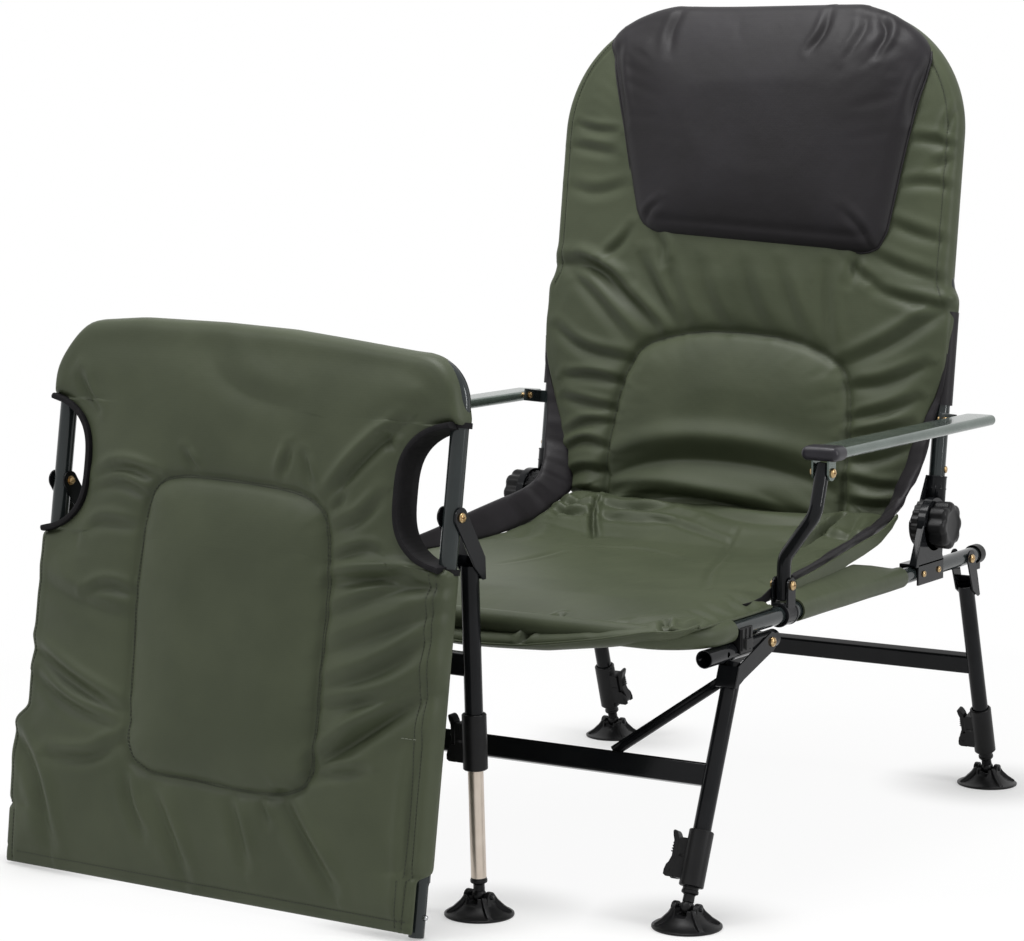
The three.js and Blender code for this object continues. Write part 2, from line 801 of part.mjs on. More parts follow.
function hingeArm() {
  const sleeveLow = backTubeFoot + armSleeveLift;
  const sleeveHigh = sleeveLow + armSleeveLength;
  const sleeve = (radius, extra) =>
    bar(
      at(frameHalfWidth, backTubeSetback, sleeveLow - extra),
      at(frameHalfWidth, backTubeSetback, sleeveHigh + extra),
      radius,
    );
  const outline = [
    ...arc(0, 0, discRadius, Math.PI, 2 * Math.PI, turnedSides),
    [backTubeSetback + tubeRadius, sleeveLow],
    [backTubeSetback + tubeRadius / 2, sleeveHigh],
    [backTubeSetback - tubeRadius, sleeveHigh],
    [backTubeSetback - tubeRadius - gussetReach, discRadius * gussetShare],
  ];
  return cut(
    join(
      plateX(outline, armPlateInner, armPlateOuter),
      sleeve(tubeBore + armSleeveWall, 0),
    ),
    sleeve(tubeBore, overrun),
    shaftX(armPlateInner - overrun, armPlateOuter + overrun, 0, 0),
  );
}

for (const { side, sign } of sides) {
  backrest.add(mesh(`back_hinge_arm_${side}`, mirrored(hingeArm(), sign), black));
  const movingDisc = hingeDisc(innerDiscX, 0, 0);
  backrest.add(mesh(`back_hinge_disc_${side}`, mirrored(movingDisc, sign), plastic));
}

// Armrests, level in a group at the rear pivot

const forkY = armFootY - reclineY; // from an armrest's rear pivot to its front pivot
const forkZ = armFootZ - reclineZ;
const armrestFront = forkY - armrestAhead;

function stadium(width, height) {
  const half = height / 2;
  const side = width / 2 - half;
  const shape = new THREE.Shape();
  shape.moveTo(-side, -half);
  shape.lineTo(side, -half);
  shape.absarc(side, 0, half, -Math.PI / 2, Math.PI / 2, false);
  shape.lineTo(-side, half);
  shape.absarc(-side, 0, half, Math.PI / 2, (3 * Math.PI) / 2, false);
  return shape;
}

// An oval bar along Y, at the armrest's height.
function ovalY(grow, fromY, toY) {
  const shape = stadium(armrestWidth + 2 * grow, armrestThickness + 2 * grow);
  const options = { depth: toY - fromY, bevelEnabled: false, curveSegments: bendSteps };
  const geometry = new THREE.ExtrudeGeometry(shape, options);
  return solidOf(geometry.rotateX(Math.PI / 2).translate(0, toY, -armrestDrop));
}

function armrest() {
  const outline = [
    ...arc(forkY, forkZ, earHalfWidth, Math.PI, 2 * Math.PI, 2 * bendSteps),
    [forkY + earHalfWidth, -armrestDrop],
    [forkY - earHalfWidth, -armrestDrop],
  ];
  const inner = -armrestWidth / 2;
  const pinEnd = lugX - armrestX - lugSheet - runningGap - boltHeadHeight;
  return join(
    cut(
      join(
        ovalY(0, armrestFront, armrestBehind),
        plateX(outline, forkHalf, forkHalf + earSheet),
        plateX(outline, -forkHalf - earSheet, -forkHalf),
      ),
      ovalY(-armrestWall, armrestFront - overrun, armrestBehind - armrestEndWall),
    ),
    boltX(0, forkY, forkZ, forkHalf + earSheet),
    shaftX(pinEnd, inner + armrestWall, 0, 0, pivotPinRadius),
    shaftX(pinEnd, pinEnd + boltHeadHeight, 0, 0, boltHeadRadius),
  );
}

function armrestCap() {
  const rear = armrestFront + capLength - armCapNose;
  return cut(
    ovalY(restGap + armCapWall, armrestFront - armCapNose, rear),
    ovalY(restGap, armrestFront - restGap, rear + overrun),
    block(
      at(-forkHalf - earSheet - restGap, forkY - earHalfWidth - restGap, forkZ),
      at(forkHalf + earSheet + restGap, rear + overrun, -armrestDrop),
    ),
  );
}

for (const { side, sign } of sides) {
  const pivot = group(sign * armrestX, reclineY + linkBack, reclineZ + linkRise);
  pivot.name = `armrest_${side}_pivot`;
  pivot.add(mesh(`armrest_${side}`, mirrored(armrest(), sign), armPaint));
  pivot.add(mesh(`armrest_cap_${side}`, mirrored(armrestCap(), sign), plastic));
  chair.add(pivot);
}

// Leg sets. The frame of a set has its origin at its pivot and its legs point along -Z.

// A flat strip between two points in a plane square to Y.
function strip(from, to, width, thickness) {
  const along = new THREE.Vector3().subVectors(to, from);
  const geometry = new THREE.BoxGeometry(along.length(), thickness, width);
  geometry.rotateY(-Math.atan2(along.z, along.x));
  const middle = new THREE.Vector3().addVectors(from, to).divideScalar(2);
  return solidOf(geometry.translate(middle.x, middle.y, middle.z));
}

function legFrame(set, length) {
  const { offset, top, webSide, crossbarDown } = set;
  const tubeEnd = -(length - set.lockUp - lockTubeSeat);
  const plateFrom = tubeRadius + runningGap;
  const plateTo = plateFrom + bracketSheet;
  const far = offset + webSide * plateTo;
  const near = offset - webSide * bracketInset;
  const low = -top - bracketSkirt;
  const high = -top + set.lift;
  const legAngle = Math.atan2(-top, offset);
  const edge = [
    [far, high],
    [far, low],
    [near, low],
  ];
  const outline = [
    ...arc(0, 0, bracketLobe, legAngle + Math.PI / 2, legAngle + (3 * Math.PI) / 2, 2 * bendSteps),
    ...(webSide < 0 ? edge : edge.reverse()),
  ];
  const legBar = (x, fromZ, toZ, radius) => bar(at(x, offset, fromZ), at(x, offset, toZ), radius);
  const pieces = [];
  const bores = [];
  const bolts = [];
  for (const { sign } of sides) {
    const x = sign * frameHalfWidth;
    const web = [offset + webSide * (tubeRadius - weldDepth), far].sort((a, b) => a - b);
    pieces.push(
      legBar(x, tubeEnd, -top, tubeRadius),
      plateX(outline, x - plateTo, x - plateFrom),
      plateX(outline, x + plateFrom, x + plateTo),
      block(at(x - plateTo, web[0], low), at(x + plateTo, web[1], high)),
    );
    bores.push(legBar(x, tubeEnd - overrun, -top + overrun, bored(innerLegRadius + legBoreGap)));
    bolts.push(boltX(x, 0, 0, plateTo), boltX(x, offset, -top - bracketBoltDrop, plateTo));
    if (set.braced) {
      const foot = at(sign * braceFoot, offset, -crossbarDown + crossbarHeight / 2 - crossbarWall);
      const head = at(sign * (frameHalfWidth - plateTo + weldDepth), offset, -top - braceTopDown);
      const rib = braceThickness + 2 * braceRibHeight;
      pieces.push(strip(foot, head, braceWidth, braceThickness));
      pieces.push(strip(foot, head, braceRibWidth, rib));
    }
  }
  const beam = (inset) =>
    block(
      at(-frameHalfWidth, offset - crossbarDepth / 2 + inset, -crossbarDown - crossbarHeight / 2 + inset),
      at(frameHalfWidth, offset + crossbarDepth / 2 - inset, -crossbarDown + crossbarHeight / 2 - inset),
    );
  return join(cut(join(...pieces, beam(0)), beam(crossbarWall), ...bores), ...bolts);
}

// The parts of one leg have their origin at the centre of the ball and Z along the leg. They are
// drawn for a right-hand leg: its lock faces inboard, to -X.

const lockRadius = tubeBore + lockWall;
const hubX = -lockRadius - leverHubOut;

function legLock(lockUp) {
  const boxX = -lockRadius - lockBoxReach;
  const cheekX = boxX - cheekReach + lockBoxReach;
  const cheek = (fromY, toY) =>
    block(
      at(cheekX, fromY, lockUp + lockBoxFoot),
      at(boxX + weldDepth, toY, lockUp + lockBoxFoot + cheekHeight),
    );
  const pinZ = lockUp + leverHubUp;
  const legBar = (from, to, radius) => bar(at(0, 0, lockUp + from), at(0, 0, lockUp + to), radius);
  const inner = lockBoxHalfWidth - cheekThickness;
  return join(
    cut(
      join(
        legBar(0, lockLength, lockRadius),
        block(
          at(boxX, -lockBoxHalfWidth, lockUp + lockBoxFoot),
          at(0, lockBoxHalfWidth, lockUp + lockBoxFoot + lockBoxHeight),
        ),
        cheek(inner, lockBoxHalfWidth),
        cheek(-lockBoxHalfWidth, -inner),
      ),
      legBar(-overrun, lockLength + overrun, bored(innerLegRadius + legBoreGap)),
      legBar(lockTubeSeat - restGap, lockLength + overrun, tubeBore),
    ),
    bar(at(hubX, -inner - weldDepth, pinZ), at(hubX, inner + weldDepth, pinZ), leverPinRadius, pinSides),
  );
}

const leverHole = bored(leverPinRadius + runningGap, pinSides);

// The lever in its own frame, whose origin is the pin at its lower end.
function lockLever() {
  const half = lockBoxHalfWidth - cheekThickness - runningGap;
  const blade = [
    [leverHubRadius, 0],
    [leverHubRadius, leverLength - leverTail],
    [leverHubRadius - leverFlare, leverLength],
    [leverHubRadius - leverFlare - leverThickness, leverLength],
    [leverHubRadius - leverThickness, leverLength - leverTail],
    [-leverThickness, leverHubRadius],
    [-leverHubRadius, 0],
  ];
  const shape = new THREE.Shape(blade.map(([x, z]) => new THREE.Vector2(x, z)));
  const geometry = new THREE.ExtrudeGeometry(shape, { depth: 2 * half, bevelEnabled: false });
  const inward = leverHubRadius - leverHubOut + lockBoxReach + restGap;
  const clear = Math.max(inward, 0);
  return cut(
    join(
      solidOf(geometry.rotateX(Math.PI / 2).translate(-clear, half, 0)),
      bar(at(0, -half, 0), at(0, half, 0), leverHubRadius),
    ),
    bar(at(0, -half - overrun, 0), at(0, half + overrun, 0), leverHole, pinSides),
  );
}

function innerLeg(topUp) {
  const slope = ballRadius * Math.SQRT1_2;
  return join(
    turned([
      [0, -ballRadius],
      [slope, -slope],
      [ballRadius, 0],
      [stemRadius, slope],
      [stemRadius, stemLength],
      [innerLegRadius, stemLength + restGap],
      [innerLegRadius, topUp],
      [0, topUp],
    ], tubeSides),
    shaftX(-footHubRadius - runningGap, footHubRadius + runningGap, 0, 0, crossPinRadius),
  );
}

// A foot in its own frame, whose origin is the ball's centre: a round pad with a ribbed hub.
function mudFoot() {
  const cup = bored(bored(ballRadius + ballGap, 2 * bendSteps), turnedSides);
  const slope = cup * Math.SQRT1_2;
  const pad = turned([
    [0, -footBallHeight],
    [footRadius, -footBallHeight],
    [footRadius, footRim - footBallHeight],
    [footSlopeRadius, footSlopeHeight - footBallHeight],
    [footHubRadius, footHubFoot - footBallHeight],
    [footHubRadius, footHubTop - footBallHeight],
    [footMouthRadius, footHubTop - footBallHeight],
    [cup, 0],
    [slope, -slope],
    [0, -cup],
  ], turnedSides);
  const ribs = Array.from({ length: footRibs }, (_, i) => {
    const shape = new THREE.Shape([
      new THREE.Vector2(footSlopeRadius / 2, footRim - footBallHeight),
      new THREE.Vector2(footRibReach, footRim - footBallHeight),
      new THREE.Vector2(footRibReach, footSlopeHeight - footBallHeight),
      new THREE.Vector2(footHubRadius, footRibHeight + footRim - footBallHeight),
      new THREE.Vector2(footSlopeRadius / 2, footHubFoot - footBallHeight),
    ]);
    const rib = new THREE.ExtrudeGeometry(shape, { depth: footRibWidth, bevelEnabled: false });
    rib.translate(0, 0, -footRibWidth / 2).rotateX(Math.PI / 2);
    return solidOf(rib.rotateZ((2 * Math.PI * (i + 1 / 2)) / footRibs));
  });
  const reach = footRadius;
  return cut(join(pad, ...ribs), shaftX(-reach, reach, 0, 0, bored(crossPinRadius + runningGap, pinSides)));
}

function addLegSet(set, parent, pivotY, pivotZ) {
  const { name, tilt, offset, lockUp } = set;
  const rise = pivotZ + offset * Math.sin(tilt) - footBallHeight;
  const length = rise / Math.cos(tilt);
  const pivot = group(0, pivotY, pivotZ);
  pivot.name = `${name}_legs_pivot`;
  pivot.rotation.x = tilt;
  parent.add(pivot);
  pivot.add(mesh(`${name}_leg_frame`, legFrame(set, length), black));
  for (const { side, sign } of sides) {
    const ball = group(sign * frameHalfWidth, offset, -length);
    ball.name = `${name}_foot_${side}_pivot`;
    pivot.add(ball);
    const topUp = lockUp + lockTubeSeat + set.overlap;
    ball.add(mesh(`${name}_leg_lock_${side}`, mirrored(legLock(lockUp), sign), plastic));
    ball.add(mesh(`${name}_inner_leg_${side}`, mirrored(innerLeg(topUp), sign), alloy));
    const lever = group(sign * hubX, 0, lockUp + leverHubUp);
    lever.name = `${name}_lock_lever_${side}_pivot`;
    lever.add(mesh(`${name}_lock_lever_${side}`, mirrored(lockLever(), sign), plastic));
    ball.add(lever);
    const foot = mesh(`${name}_foot_${side}`, mirrored(mudFoot(), sign), plastic);
    foot.rotation.x = -tilt;
    ball.add(foot);
  }
}

addLegSet(frontLegs, chair, frontLegs.pivotY, socketZ);
addLegSet(rearLegs, chair, rearLegs.pivotY, seatTubeZ);

// Footrest

const footrest = group(footrestX, footrestY, 0);
footrest.name = "footrest_pivot";
footrest.rotation.z = footrestTurn;
chair.add(footrest);
const panel = group(0, 0, 0);
panel.rotation.x = -footrestLean;
footrest.add(panel);

const lift = tubeRadius * Math.sin(footrestLean); // so that the leaning tube ends clear the floor
function footrestPath(fromZ) {
  return new BentLine(
    [
      at(frameHalfWidth, 0, fromZ),
      at(frameHalfWidth, 0, footrestLength),
      at(-frameHalfWidth, 0, footrestLength),
      at(-frameHalfWidth, 0, fromZ),
    ],
    footrestBend,
  );
}

// A bar on the axis of one side tube of the footrest.
function uprightBar(x, fromZ, toZ, radius) {
  return bar(at(x, 0, fromZ), at(x, 0, toZ), radius);
}

function footrestFrame() {
  const spigot = (x) => uprightBar(x, lift, spigotLength + weldDepth, spigotRadius);
  const pivotHole = (x) =>
    shaftX(x - 2 * tubeRadius, x + 2 * tubeRadius, 0, footrestPivotUp, pinHole);
  const buttonHole = (sign) => {
    const from = sign * frameHalfWidth;
    const to = sign * (frameHalfWidth + 2 * tubeRadius);
    return shaftX(from, to, 0, lift + buttonUp, bored(buttonRadius + runningGap, pinSides));
  };
  return cut(
    join(
      bentBar(footrestPath(spigotLength), tubeRadius),
      spigot(frameHalfWidth),
      spigot(-frameHalfWidth),
    ),
    bentBar(footrestPath(-overrun), spigotBore, boreSides),
    pivotHole(frameHalfWidth),
    pivotHole(-frameHalfWidth),
    buttonHole(1),
    buttonHole(-1),
  );
}

panel.add(mesh("footrest_frame", footrestFrame(), painted));
for (const { side, sign } of sides) {
  const z = lift + buttonUp;
  const inside = sign * (frameHalfWidth + buttonSeat);
  const outside = sign * (frameHalfWidth + spigotRadius + buttonProud);
  const flange = shaftX(inside, inside + sign * buttonFlangeThickness, 0, z, buttonFlange);
  const button = join(shaftX(inside, outside, 0, z, buttonRadius), flange);
  panel.add(mesh(`spring_button_${side}`, button, gold));
}

const footrestPivot = at(0, 0, footrestPivotUp).applyAxisAngle(axisX, -footrestLean);
addLegSet(footrestLegs, footrest, footrestPivot.y, footrestPivot.z);

// Covers

const largest = (solid) => solid.decompose().sort((a, b) => b.volume() - a.volume())[0];
const spread = (share) => Math.sin(Math.PI * (share - 1 / 2));
const smooth = (from, to, value) => THREE.MathUtils.smoothstep(value, from, to);
const sweepRadius = tubeBore;
const sleeveRadius = sweepRadius + sleeveWall;
const seatColumns = 12;
const seatRows = 12;
const backColumns = 12;
const backRows = 16;
const footrestColumns = 10;
const footrestRows = 16;
const pillowColumns = 8;
const pillowRows = 6;

// Seat cover

function seatPlace(u, v, skin) {
  const across = spread(u);
  const y = seatPadFrontY + ((seatPadRearY - seatPadFrontY) * (1 + spread(v))) / 2;
  const into = Math.min(Math.max((seatPadFrontY + seatPadCorner - y) / seatPadCorner, 0), 1);
  const half = frameHalfWidth - seatPadInset - seatPadCornerInset * (1 - Math.sqrt(1 - into * into));
  const fullness = full((1 + across) / 2) * full((1 + spread(v)) / 2);
  if (skin > 0) return at(half * across, y, seatPadZ + seatPadEdge + seatPadCrown * fullness);
  const lip = seatTubeZ - frontDroop + frontDroopRise * across * across;
  const droop = 1 - smooth(seatPadFrontY + seatPadEdge, seatPadFrontY + frontDroopDepth, y);
  const belly = seatPadZ - seatPadEdge - seatPadBelly * fullness;
  return at(half * across, y, THREE.MathUtils.lerp(belly, Math.min(lip, belly), droop));
}

function seatCover() {
  const reach = 2 * frameHalfWidth;
  const roll = cut(
    bentBar(seatLine, sleeveRadius),
    block(at(-reach, frontSleeveEndY, 0), at(reach, reach, seatTubeZ + reach)),
  );
  const flap = block(
    at(frameHalfWidth - flapInner, seatSleeveFrontY, seatPadZ - flapHalfThickness),
    at(frameHalfWidth - flapOuter, seatSleeveRearY, seatPadZ + flapHalfThickness),
  );
  const side = join(sideBar(seatSleeveFrontY, seatSleeveRearY, seatTubeZ, sleeveRadius), flap);
  const pad = quilted(seatColumns, seatRows, seatPlace);
  return largest(cut(join(pad, roll, side, mirrored(side, -1)), bentBar(seatLine, sweepRadius)));
}

chair.add(mesh("seat_cover", seatCover(), green));

// Back cover, in the backrest's frame

const backCorner = backTopHalf - backBend;

function backHalfWidth(z) {
  const bendStart = backTubeTop - backBend;
  const foot = armPlateInner - restGap - hingeNutThickness - backPadNutGap;
  const middle = frameHalfWidth - backPadMidInset;
  const low = THREE.MathUtils.lerp(foot, middle, smooth(backPadFoot, backSleeveFoot, z));
  const step = smooth(backStepLow, backStepHigh, z);
  const wide = THREE.MathUtils.lerp(frameHalfWidth, backTopHalf, step) + backPadOverlap;
  const into = Math.min(Math.max((z - bendStart) / (backPadTop - bendStart), 0), 1);
  const narrowed = backCorner + (wide - backCorner) * Math.sqrt(1 - into * into);
  return THREE.MathUtils.lerp(low, narrowed, smooth(backSleeveFoot, backSleeveFoot + backPadWiden, z));
}

// The distance from the sewn line round the lumbar pad: negative inside it.
function lumbarDistance(x, z) {
  const rise = Math.max(z - lumbarBase, 0) / (lumbarTop - lumbarBase);
  return (Math.hypot(x / lumbarHalfWidth, rise) - 1) * (lumbarTop - lumbarBase);
}

function backPlace(u, v, skin) {
  const across = spread(u);
  const z = backPadFoot + ((backPadTop - backPadFoot) * (1 + spread(v))) / 2;
  const x = backHalfWidth(z) * across;
  const middle = backTubeSetback - backPadLead;
  if (skin < 0) return at(x, middle + backPadEdge, z);
  const fullness = full((1 + across) / 2) * full((1 + spread(v)) / 2);
  const distance = lumbarDistance(x, z);
  const raised = lumbarRaise * (1 - smooth(-seamWidth, seamWidth, distance));
  const depth = backPadEdge + fullness * (backPadCrown + raised - drawn(distance));
  return at(x, middle - depth, z);
}

function backCover() {
  const reach = 2 * frameHalfWidth;
  const sleeve = cut(
    bentBar(backLine, sleeveRadius),
    block(at(-reach, -reach, -reach), at(reach, reach, backSleeveFoot)),
  );
  const pad = quilted(backColumns, backRows, backPlace);
  return largest(cut(join(pad, sleeve), bentBar(backLine, sweepRadius)));
}

const backCoverSolid = backCover();
backrest.add(mesh("back_cover", backCoverSolid, green));

// Head pillow on the front of the back cover

function pillowPlace(u, v, skin) {
  const across = spread(u);
  const z = pillowFoot + ((pillowTop - pillowFoot) * (1 + spread(v))) / 2;
  const below = (z - pillowFoot) / (pillowShoulder - pillowFoot);
  const above = (z - pillowShoulder) / (pillowTop - pillowShoulder);
  const half =
    z < pillowShoulder
      ? THREE.MathUtils.lerp(pillowFootHalf, pillowShoulderHalf, below)
      : THREE.MathUtils.lerp(pillowShoulderHalf, pillowTopHalf, above);
  const fullness = full((1 + across) / 2) * full((1 + spread(v)) / 2);
  const middle = backTubeSetback - pillowLead;
  const depth = pillowEdge + (skin > 0 ? pillowThickness * fullness : 0);
  return at(half * across, middle - skin * depth, z);
}

const pillow = largest(
  cut(
    quilted(pillowColumns, pillowRows, pillowPlace),
    backCoverSolid,
    backCoverSolid.translate([0, -restGap, 0]),
  ),
);
backrest.add(mesh("head_pillow", pillow, charcoal));

// Footrest cover, in the leaning frame of the footrest

function footrestPlace(u, v, skin) {
  const across = spread(u);
  const z = footrestPadFoot + ((footrestPadTop - footrestPadFoot) * (1 + spread(v))) / 2;
  const cornerAt = footrestPadTop - footrestPadCorner;
  const into = Math.min(Math.max((z - cornerAt) / footrestPadCorner, 0), 1);
  const rounded = frameHalfWidth + footrestPadOverlap - footrestPadCorner * (1 - Math.sqrt(1 - into * into));
  const place = Math.min(Math.max((z - cutoutFoot) / (cutoutTop - cutoutFoot), 0), 1);
  const half = rounded - cutoutDepth * Math.sqrt(Math.sin(Math.PI * place));
  const x = half * across;
  if (skin < 0) return at(x, footrestPadEdge - footrestPadLead, z);
  const fullness = full((1 + across) / 2) * full((1 + spread(v)) / 2);
  const middle = (panelFoot + panelTop) / 2;
  const rise = (z - middle) / (panelTop - middle);
  const power = (value) => Math.pow(value, 4);
  const distance = (Math.pow(power(x / panelHalfWidth) + power(rise), 1 / 4) - 1) * panelHalfWidth;
  const depth = footrestPadEdge + fullness * (footrestPadCrown - drawn(distance));
  return at(x, -footrestPadLead - depth, z);
}

function footrestCover() {
  const reach = 2 * frameHalfWidth;
  const path = footrestPath(0);
  const sleeve = cut(
    bentBar(path, sleeveRadius),
    block(at(-reach, -reach, -reach), at(reach, reach, footrestSleeveFoot)),
    block(at(-reach, -reach, cutoutFoot), at(reach, reach, cutoutTop)),
  );
  const pad = quilted(footrestColumns, footrestRows, footrestPlace);
  return largest(cut(join(pad, sleeve), bentBar(path, sweepRadius)));
}

panel.add(mesh("footrest_cover", footrestCover(), green));

// The origin is at the middle of the bounding box, on the floor.
chair.updateMatrixWorld(true);
const bounds = new THREE.Box3().setFromObject(chair, true);
const centre = bounds.getCenter(at(0, 0, 0));
chair.position.set(-centre.x, -centre.y, -bounds.min.z);

export default chair;
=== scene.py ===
# %% [markdown]
# # A carp fishing chair with its footrest beside it
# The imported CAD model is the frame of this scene: it fixes where each tube, pivot and foot is.
# Here every piece gets its real surface. Tubes become round, plates get rolled edges, the
# covers become stuffed cloth with seams and folds, and each finish is a material of its own.

import math

import bmesh
import bpy
import numpy as np
from mathutils import Matrix, Vector
from mathutils.bvhtree import BVHTree


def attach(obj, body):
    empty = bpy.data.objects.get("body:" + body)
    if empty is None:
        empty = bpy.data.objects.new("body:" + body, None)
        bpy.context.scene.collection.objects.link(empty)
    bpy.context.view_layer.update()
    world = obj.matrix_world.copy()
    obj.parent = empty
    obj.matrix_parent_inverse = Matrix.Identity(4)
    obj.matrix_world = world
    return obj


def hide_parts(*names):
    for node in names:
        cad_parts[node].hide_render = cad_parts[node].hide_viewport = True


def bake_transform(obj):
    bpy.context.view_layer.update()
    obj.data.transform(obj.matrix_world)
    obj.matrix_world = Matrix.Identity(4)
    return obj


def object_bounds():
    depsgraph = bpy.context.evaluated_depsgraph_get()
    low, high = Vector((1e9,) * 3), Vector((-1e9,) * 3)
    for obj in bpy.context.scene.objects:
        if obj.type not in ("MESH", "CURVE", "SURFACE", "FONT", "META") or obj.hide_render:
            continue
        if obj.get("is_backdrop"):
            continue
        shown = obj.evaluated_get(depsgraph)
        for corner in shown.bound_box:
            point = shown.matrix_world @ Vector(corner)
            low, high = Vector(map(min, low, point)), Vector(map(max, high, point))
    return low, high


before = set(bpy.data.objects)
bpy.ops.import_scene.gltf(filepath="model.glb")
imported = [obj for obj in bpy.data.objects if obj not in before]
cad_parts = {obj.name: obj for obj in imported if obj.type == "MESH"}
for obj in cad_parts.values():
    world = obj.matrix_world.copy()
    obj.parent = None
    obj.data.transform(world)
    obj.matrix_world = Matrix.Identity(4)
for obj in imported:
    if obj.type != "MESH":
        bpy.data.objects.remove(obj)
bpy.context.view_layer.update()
scene = bpy.context.scene

# %% [markdown]
# ## Camera
# The photograph was taken with a long lens from the right front, a little above the seat.

# %% Place the camera
AZIMUTH = math.radians(32.2)
PITCH = math.radians(6.9)
EYE = Vector((1.86307, -3.03452, 0.8677))
back = Vector(
    (
        math.sin(AZIMUTH) * math.cos(PITCH),
        -math.cos(AZIMUTH) * math.cos(PITCH),
        math.sin(PITCH),
    )
)
right = Vector((math.cos(AZIMUTH), math.sin(AZIMUTH), 0))
up = back.cross(right)
camera = bpy.data.objects.new("camera", bpy.data.cameras.new("camera"))
scene.collection.objects.link(camera)
camera.data.lens = 104.12
camera.data.sensor_width = 36
camera.data.clip_end = 100
turn = Matrix((right, up, back)).transposed().to_4x4()
camera.matrix_world = Matrix.Translation(EYE) @ turn
scene.camera = camera
print("camera", [round(v, 3) for v in camera.matrix_world.translation])

# %% [markdown]
# ## Sizes
# The main sizes are those of the CAD source, in millimetres, because a drawing of such a chair is
# in millimetres. One function turns them into metres when a piece is made.

# %% Sizes in millimetres
SHIFT = Matrix.Translation((92.27, 136.88, 0))  # from the chair's own frame to the row frame
TUBE = 10.0  # outer radius of all three bent frames and the outer legs
WALL = 1.2
HALF = 281.0  # from the middle plane to the axis of each side tube
SEAT_Z = 309.0
SEAT_FRONT = -446.0
SEAT_REAR = 305.0
RECLINE = Vector((0, 148.5, 366))
BACK_LEAN = 0.138
BACK_Y = 21.8  # tubes of the back, in the back's own frame
BACK_TOP = 626.0
ARM_FOOT = Vector((0, -235, 342))
ARMREST_X = 326.0
ARMREST = Vector((0, 154.5, 495))
SOCKET_Z = 286.0
FOOTREST = Vector((-220.7, -631.3, 0))
FOOTREST_TURN = -0.049
FOOTREST_LEAN = 0.1495
FOOTREST_TOP = 608.0
BALL_UP = 22.0  # from the floor to the centre of a foot's ball
SIDES = (("right", 1), ("left", -1))


def turn_x(angle):
    return Matrix.Rotation(angle, 4, "X")


def turn_z(angle):
    return Matrix.Rotation(angle, 4, "Z")


AT_SEAT = SHIFT
AT_BACK = SHIFT @ Matrix.Translation(RECLINE) @ turn_x(-BACK_LEAN)
AT_REST = SHIFT @ Matrix.Translation(FOOTREST) @ turn_z(FOOTREST_TURN)
AT_PANEL = AT_REST @ turn_x(-FOOTREST_LEAN)
rest_pivot = turn_x(-FOOTREST_LEAN) @ Vector((0, 0, 447.5))
LEGS = {
    "front": dict(tilt=-0.394, offset=-54.5, top=38.6, lift=-6, reach=30, web=-1, bar=164.5, lock=22,
                  overlap=150, at=SHIFT @ Matrix.Translation((0, -285, SOCKET_Z)), z=SOCKET_Z),
    "rear": dict(tilt=0.31, offset=0, top=38, lift=8, reach=18, web=1, bar=150.2, lock=25,
                 overlap=150, at=SHIFT @ Matrix.Translation((0, 262, SEAT_Z)), z=SEAT_Z),
    "footrest": dict(tilt=0.046, offset=28.8, top=57, lift=8, reach=16, web=1, bar=166, lock=141,
                     overlap=50, at=AT_REST @ Matrix.Translation(rest_pivot), z=rest_pivot.z),
}
for name, leg in LEGS.items():
    rise = leg["z"] + leg["offset"] * math.sin(leg["tilt"]) - BALL_UP
    leg["length"] = rise / math.cos(leg["tilt"])
    leg["at"] = leg["at"] @ turn_x(leg["tilt"])
    print(name, "legs, mm from pivot to ball:", round(leg["length"], 1))

# %% [markdown]
# ## Materials
# The chair has few finishes: gloss paint on the tubes, polyester cloth on the pads, black moulded
# plastic, anodised alloy on the inner legs and yellow zinc on the bolts. Each is made of noise
# and wave textures whose scales follow from sizes in millimetres, so it stays right on any mesh.


# %% Colours and node helpers
def srgb(text):
    """A colour written as in a picture editor, as the linear values that the shader needs."""
    parts = [int(text[i : i + 2], 16) / 255 for i in (1, 3, 5)]
    linear = [p / 12.92 if p <= 0.04045 else ((p + 0.055) / 1.055) ** 2.4 for p in parts]
    return (*linear, 1.0)


def add(tree, kind, links=(), **values):
    """Adds a node, sets its sockets and properties, and links outputs to its inputs."""
    node = tree.nodes.new(kind)
    for key, value in values.items():
        key = key.replace("__", " ")
        if hasattr(node, key):
            setattr(node, key, value)
        else:
            node.inputs[key].default_value = value
    for source, socket in links:
        tree.links.new(source, node.inputs[socket])
    return node


def surface(name, colour, roughness, metallic, values):
    """A material with one principled shader, returned with its tree, shader and coordinates."""
    material = bpy.data.materials.new(name)
    material.use_nodes = True
    tree = material.node_tree
    shader = next(n for n in tree.nodes if n.type == "BSDF_PRINCIPLED")
    shader.inputs["Base Color"].default_value = srgb(colour)
    shader.inputs["Roughness"].default_value = roughness
    shader.inputs["Metallic"].default_value = metallic
    for key, value in values.items():
        shader.inputs[key.replace("__", " ")].default_value = value
    material.diffuse_color = srgb(colour)
    return material, tree, shader, add(tree, "ShaderNodeTexCoord")


def vary(tree, shader, coords, colour, other, size):
    """Blends two shades over patches of a size in millimetres."""
    noise = add(tree, "ShaderNodeTexNoise", [(coords.outputs["Object"], "Vector")],
                Scale=1000 / size, Detail=3.0)
    ramp = add(tree, "ShaderNodeMapRange", [(noise.outputs["Fac"], "Value")], From__Min=0.35, From__Max=0.65)
    mix = add(tree, "ShaderNodeMix", data_type="RGBA")
    tree.links.new(ramp.outputs["Result"], mix.inputs["Factor"])
    # Sockets 6 and 7 and output 2 are those of a mix of colours
    mix.inputs[6].default_value = srgb(colour)
    mix.inputs[7].default_value = srgb(other)
    tree.links.new(mix.outputs[2], shader.inputs["Base Color"])


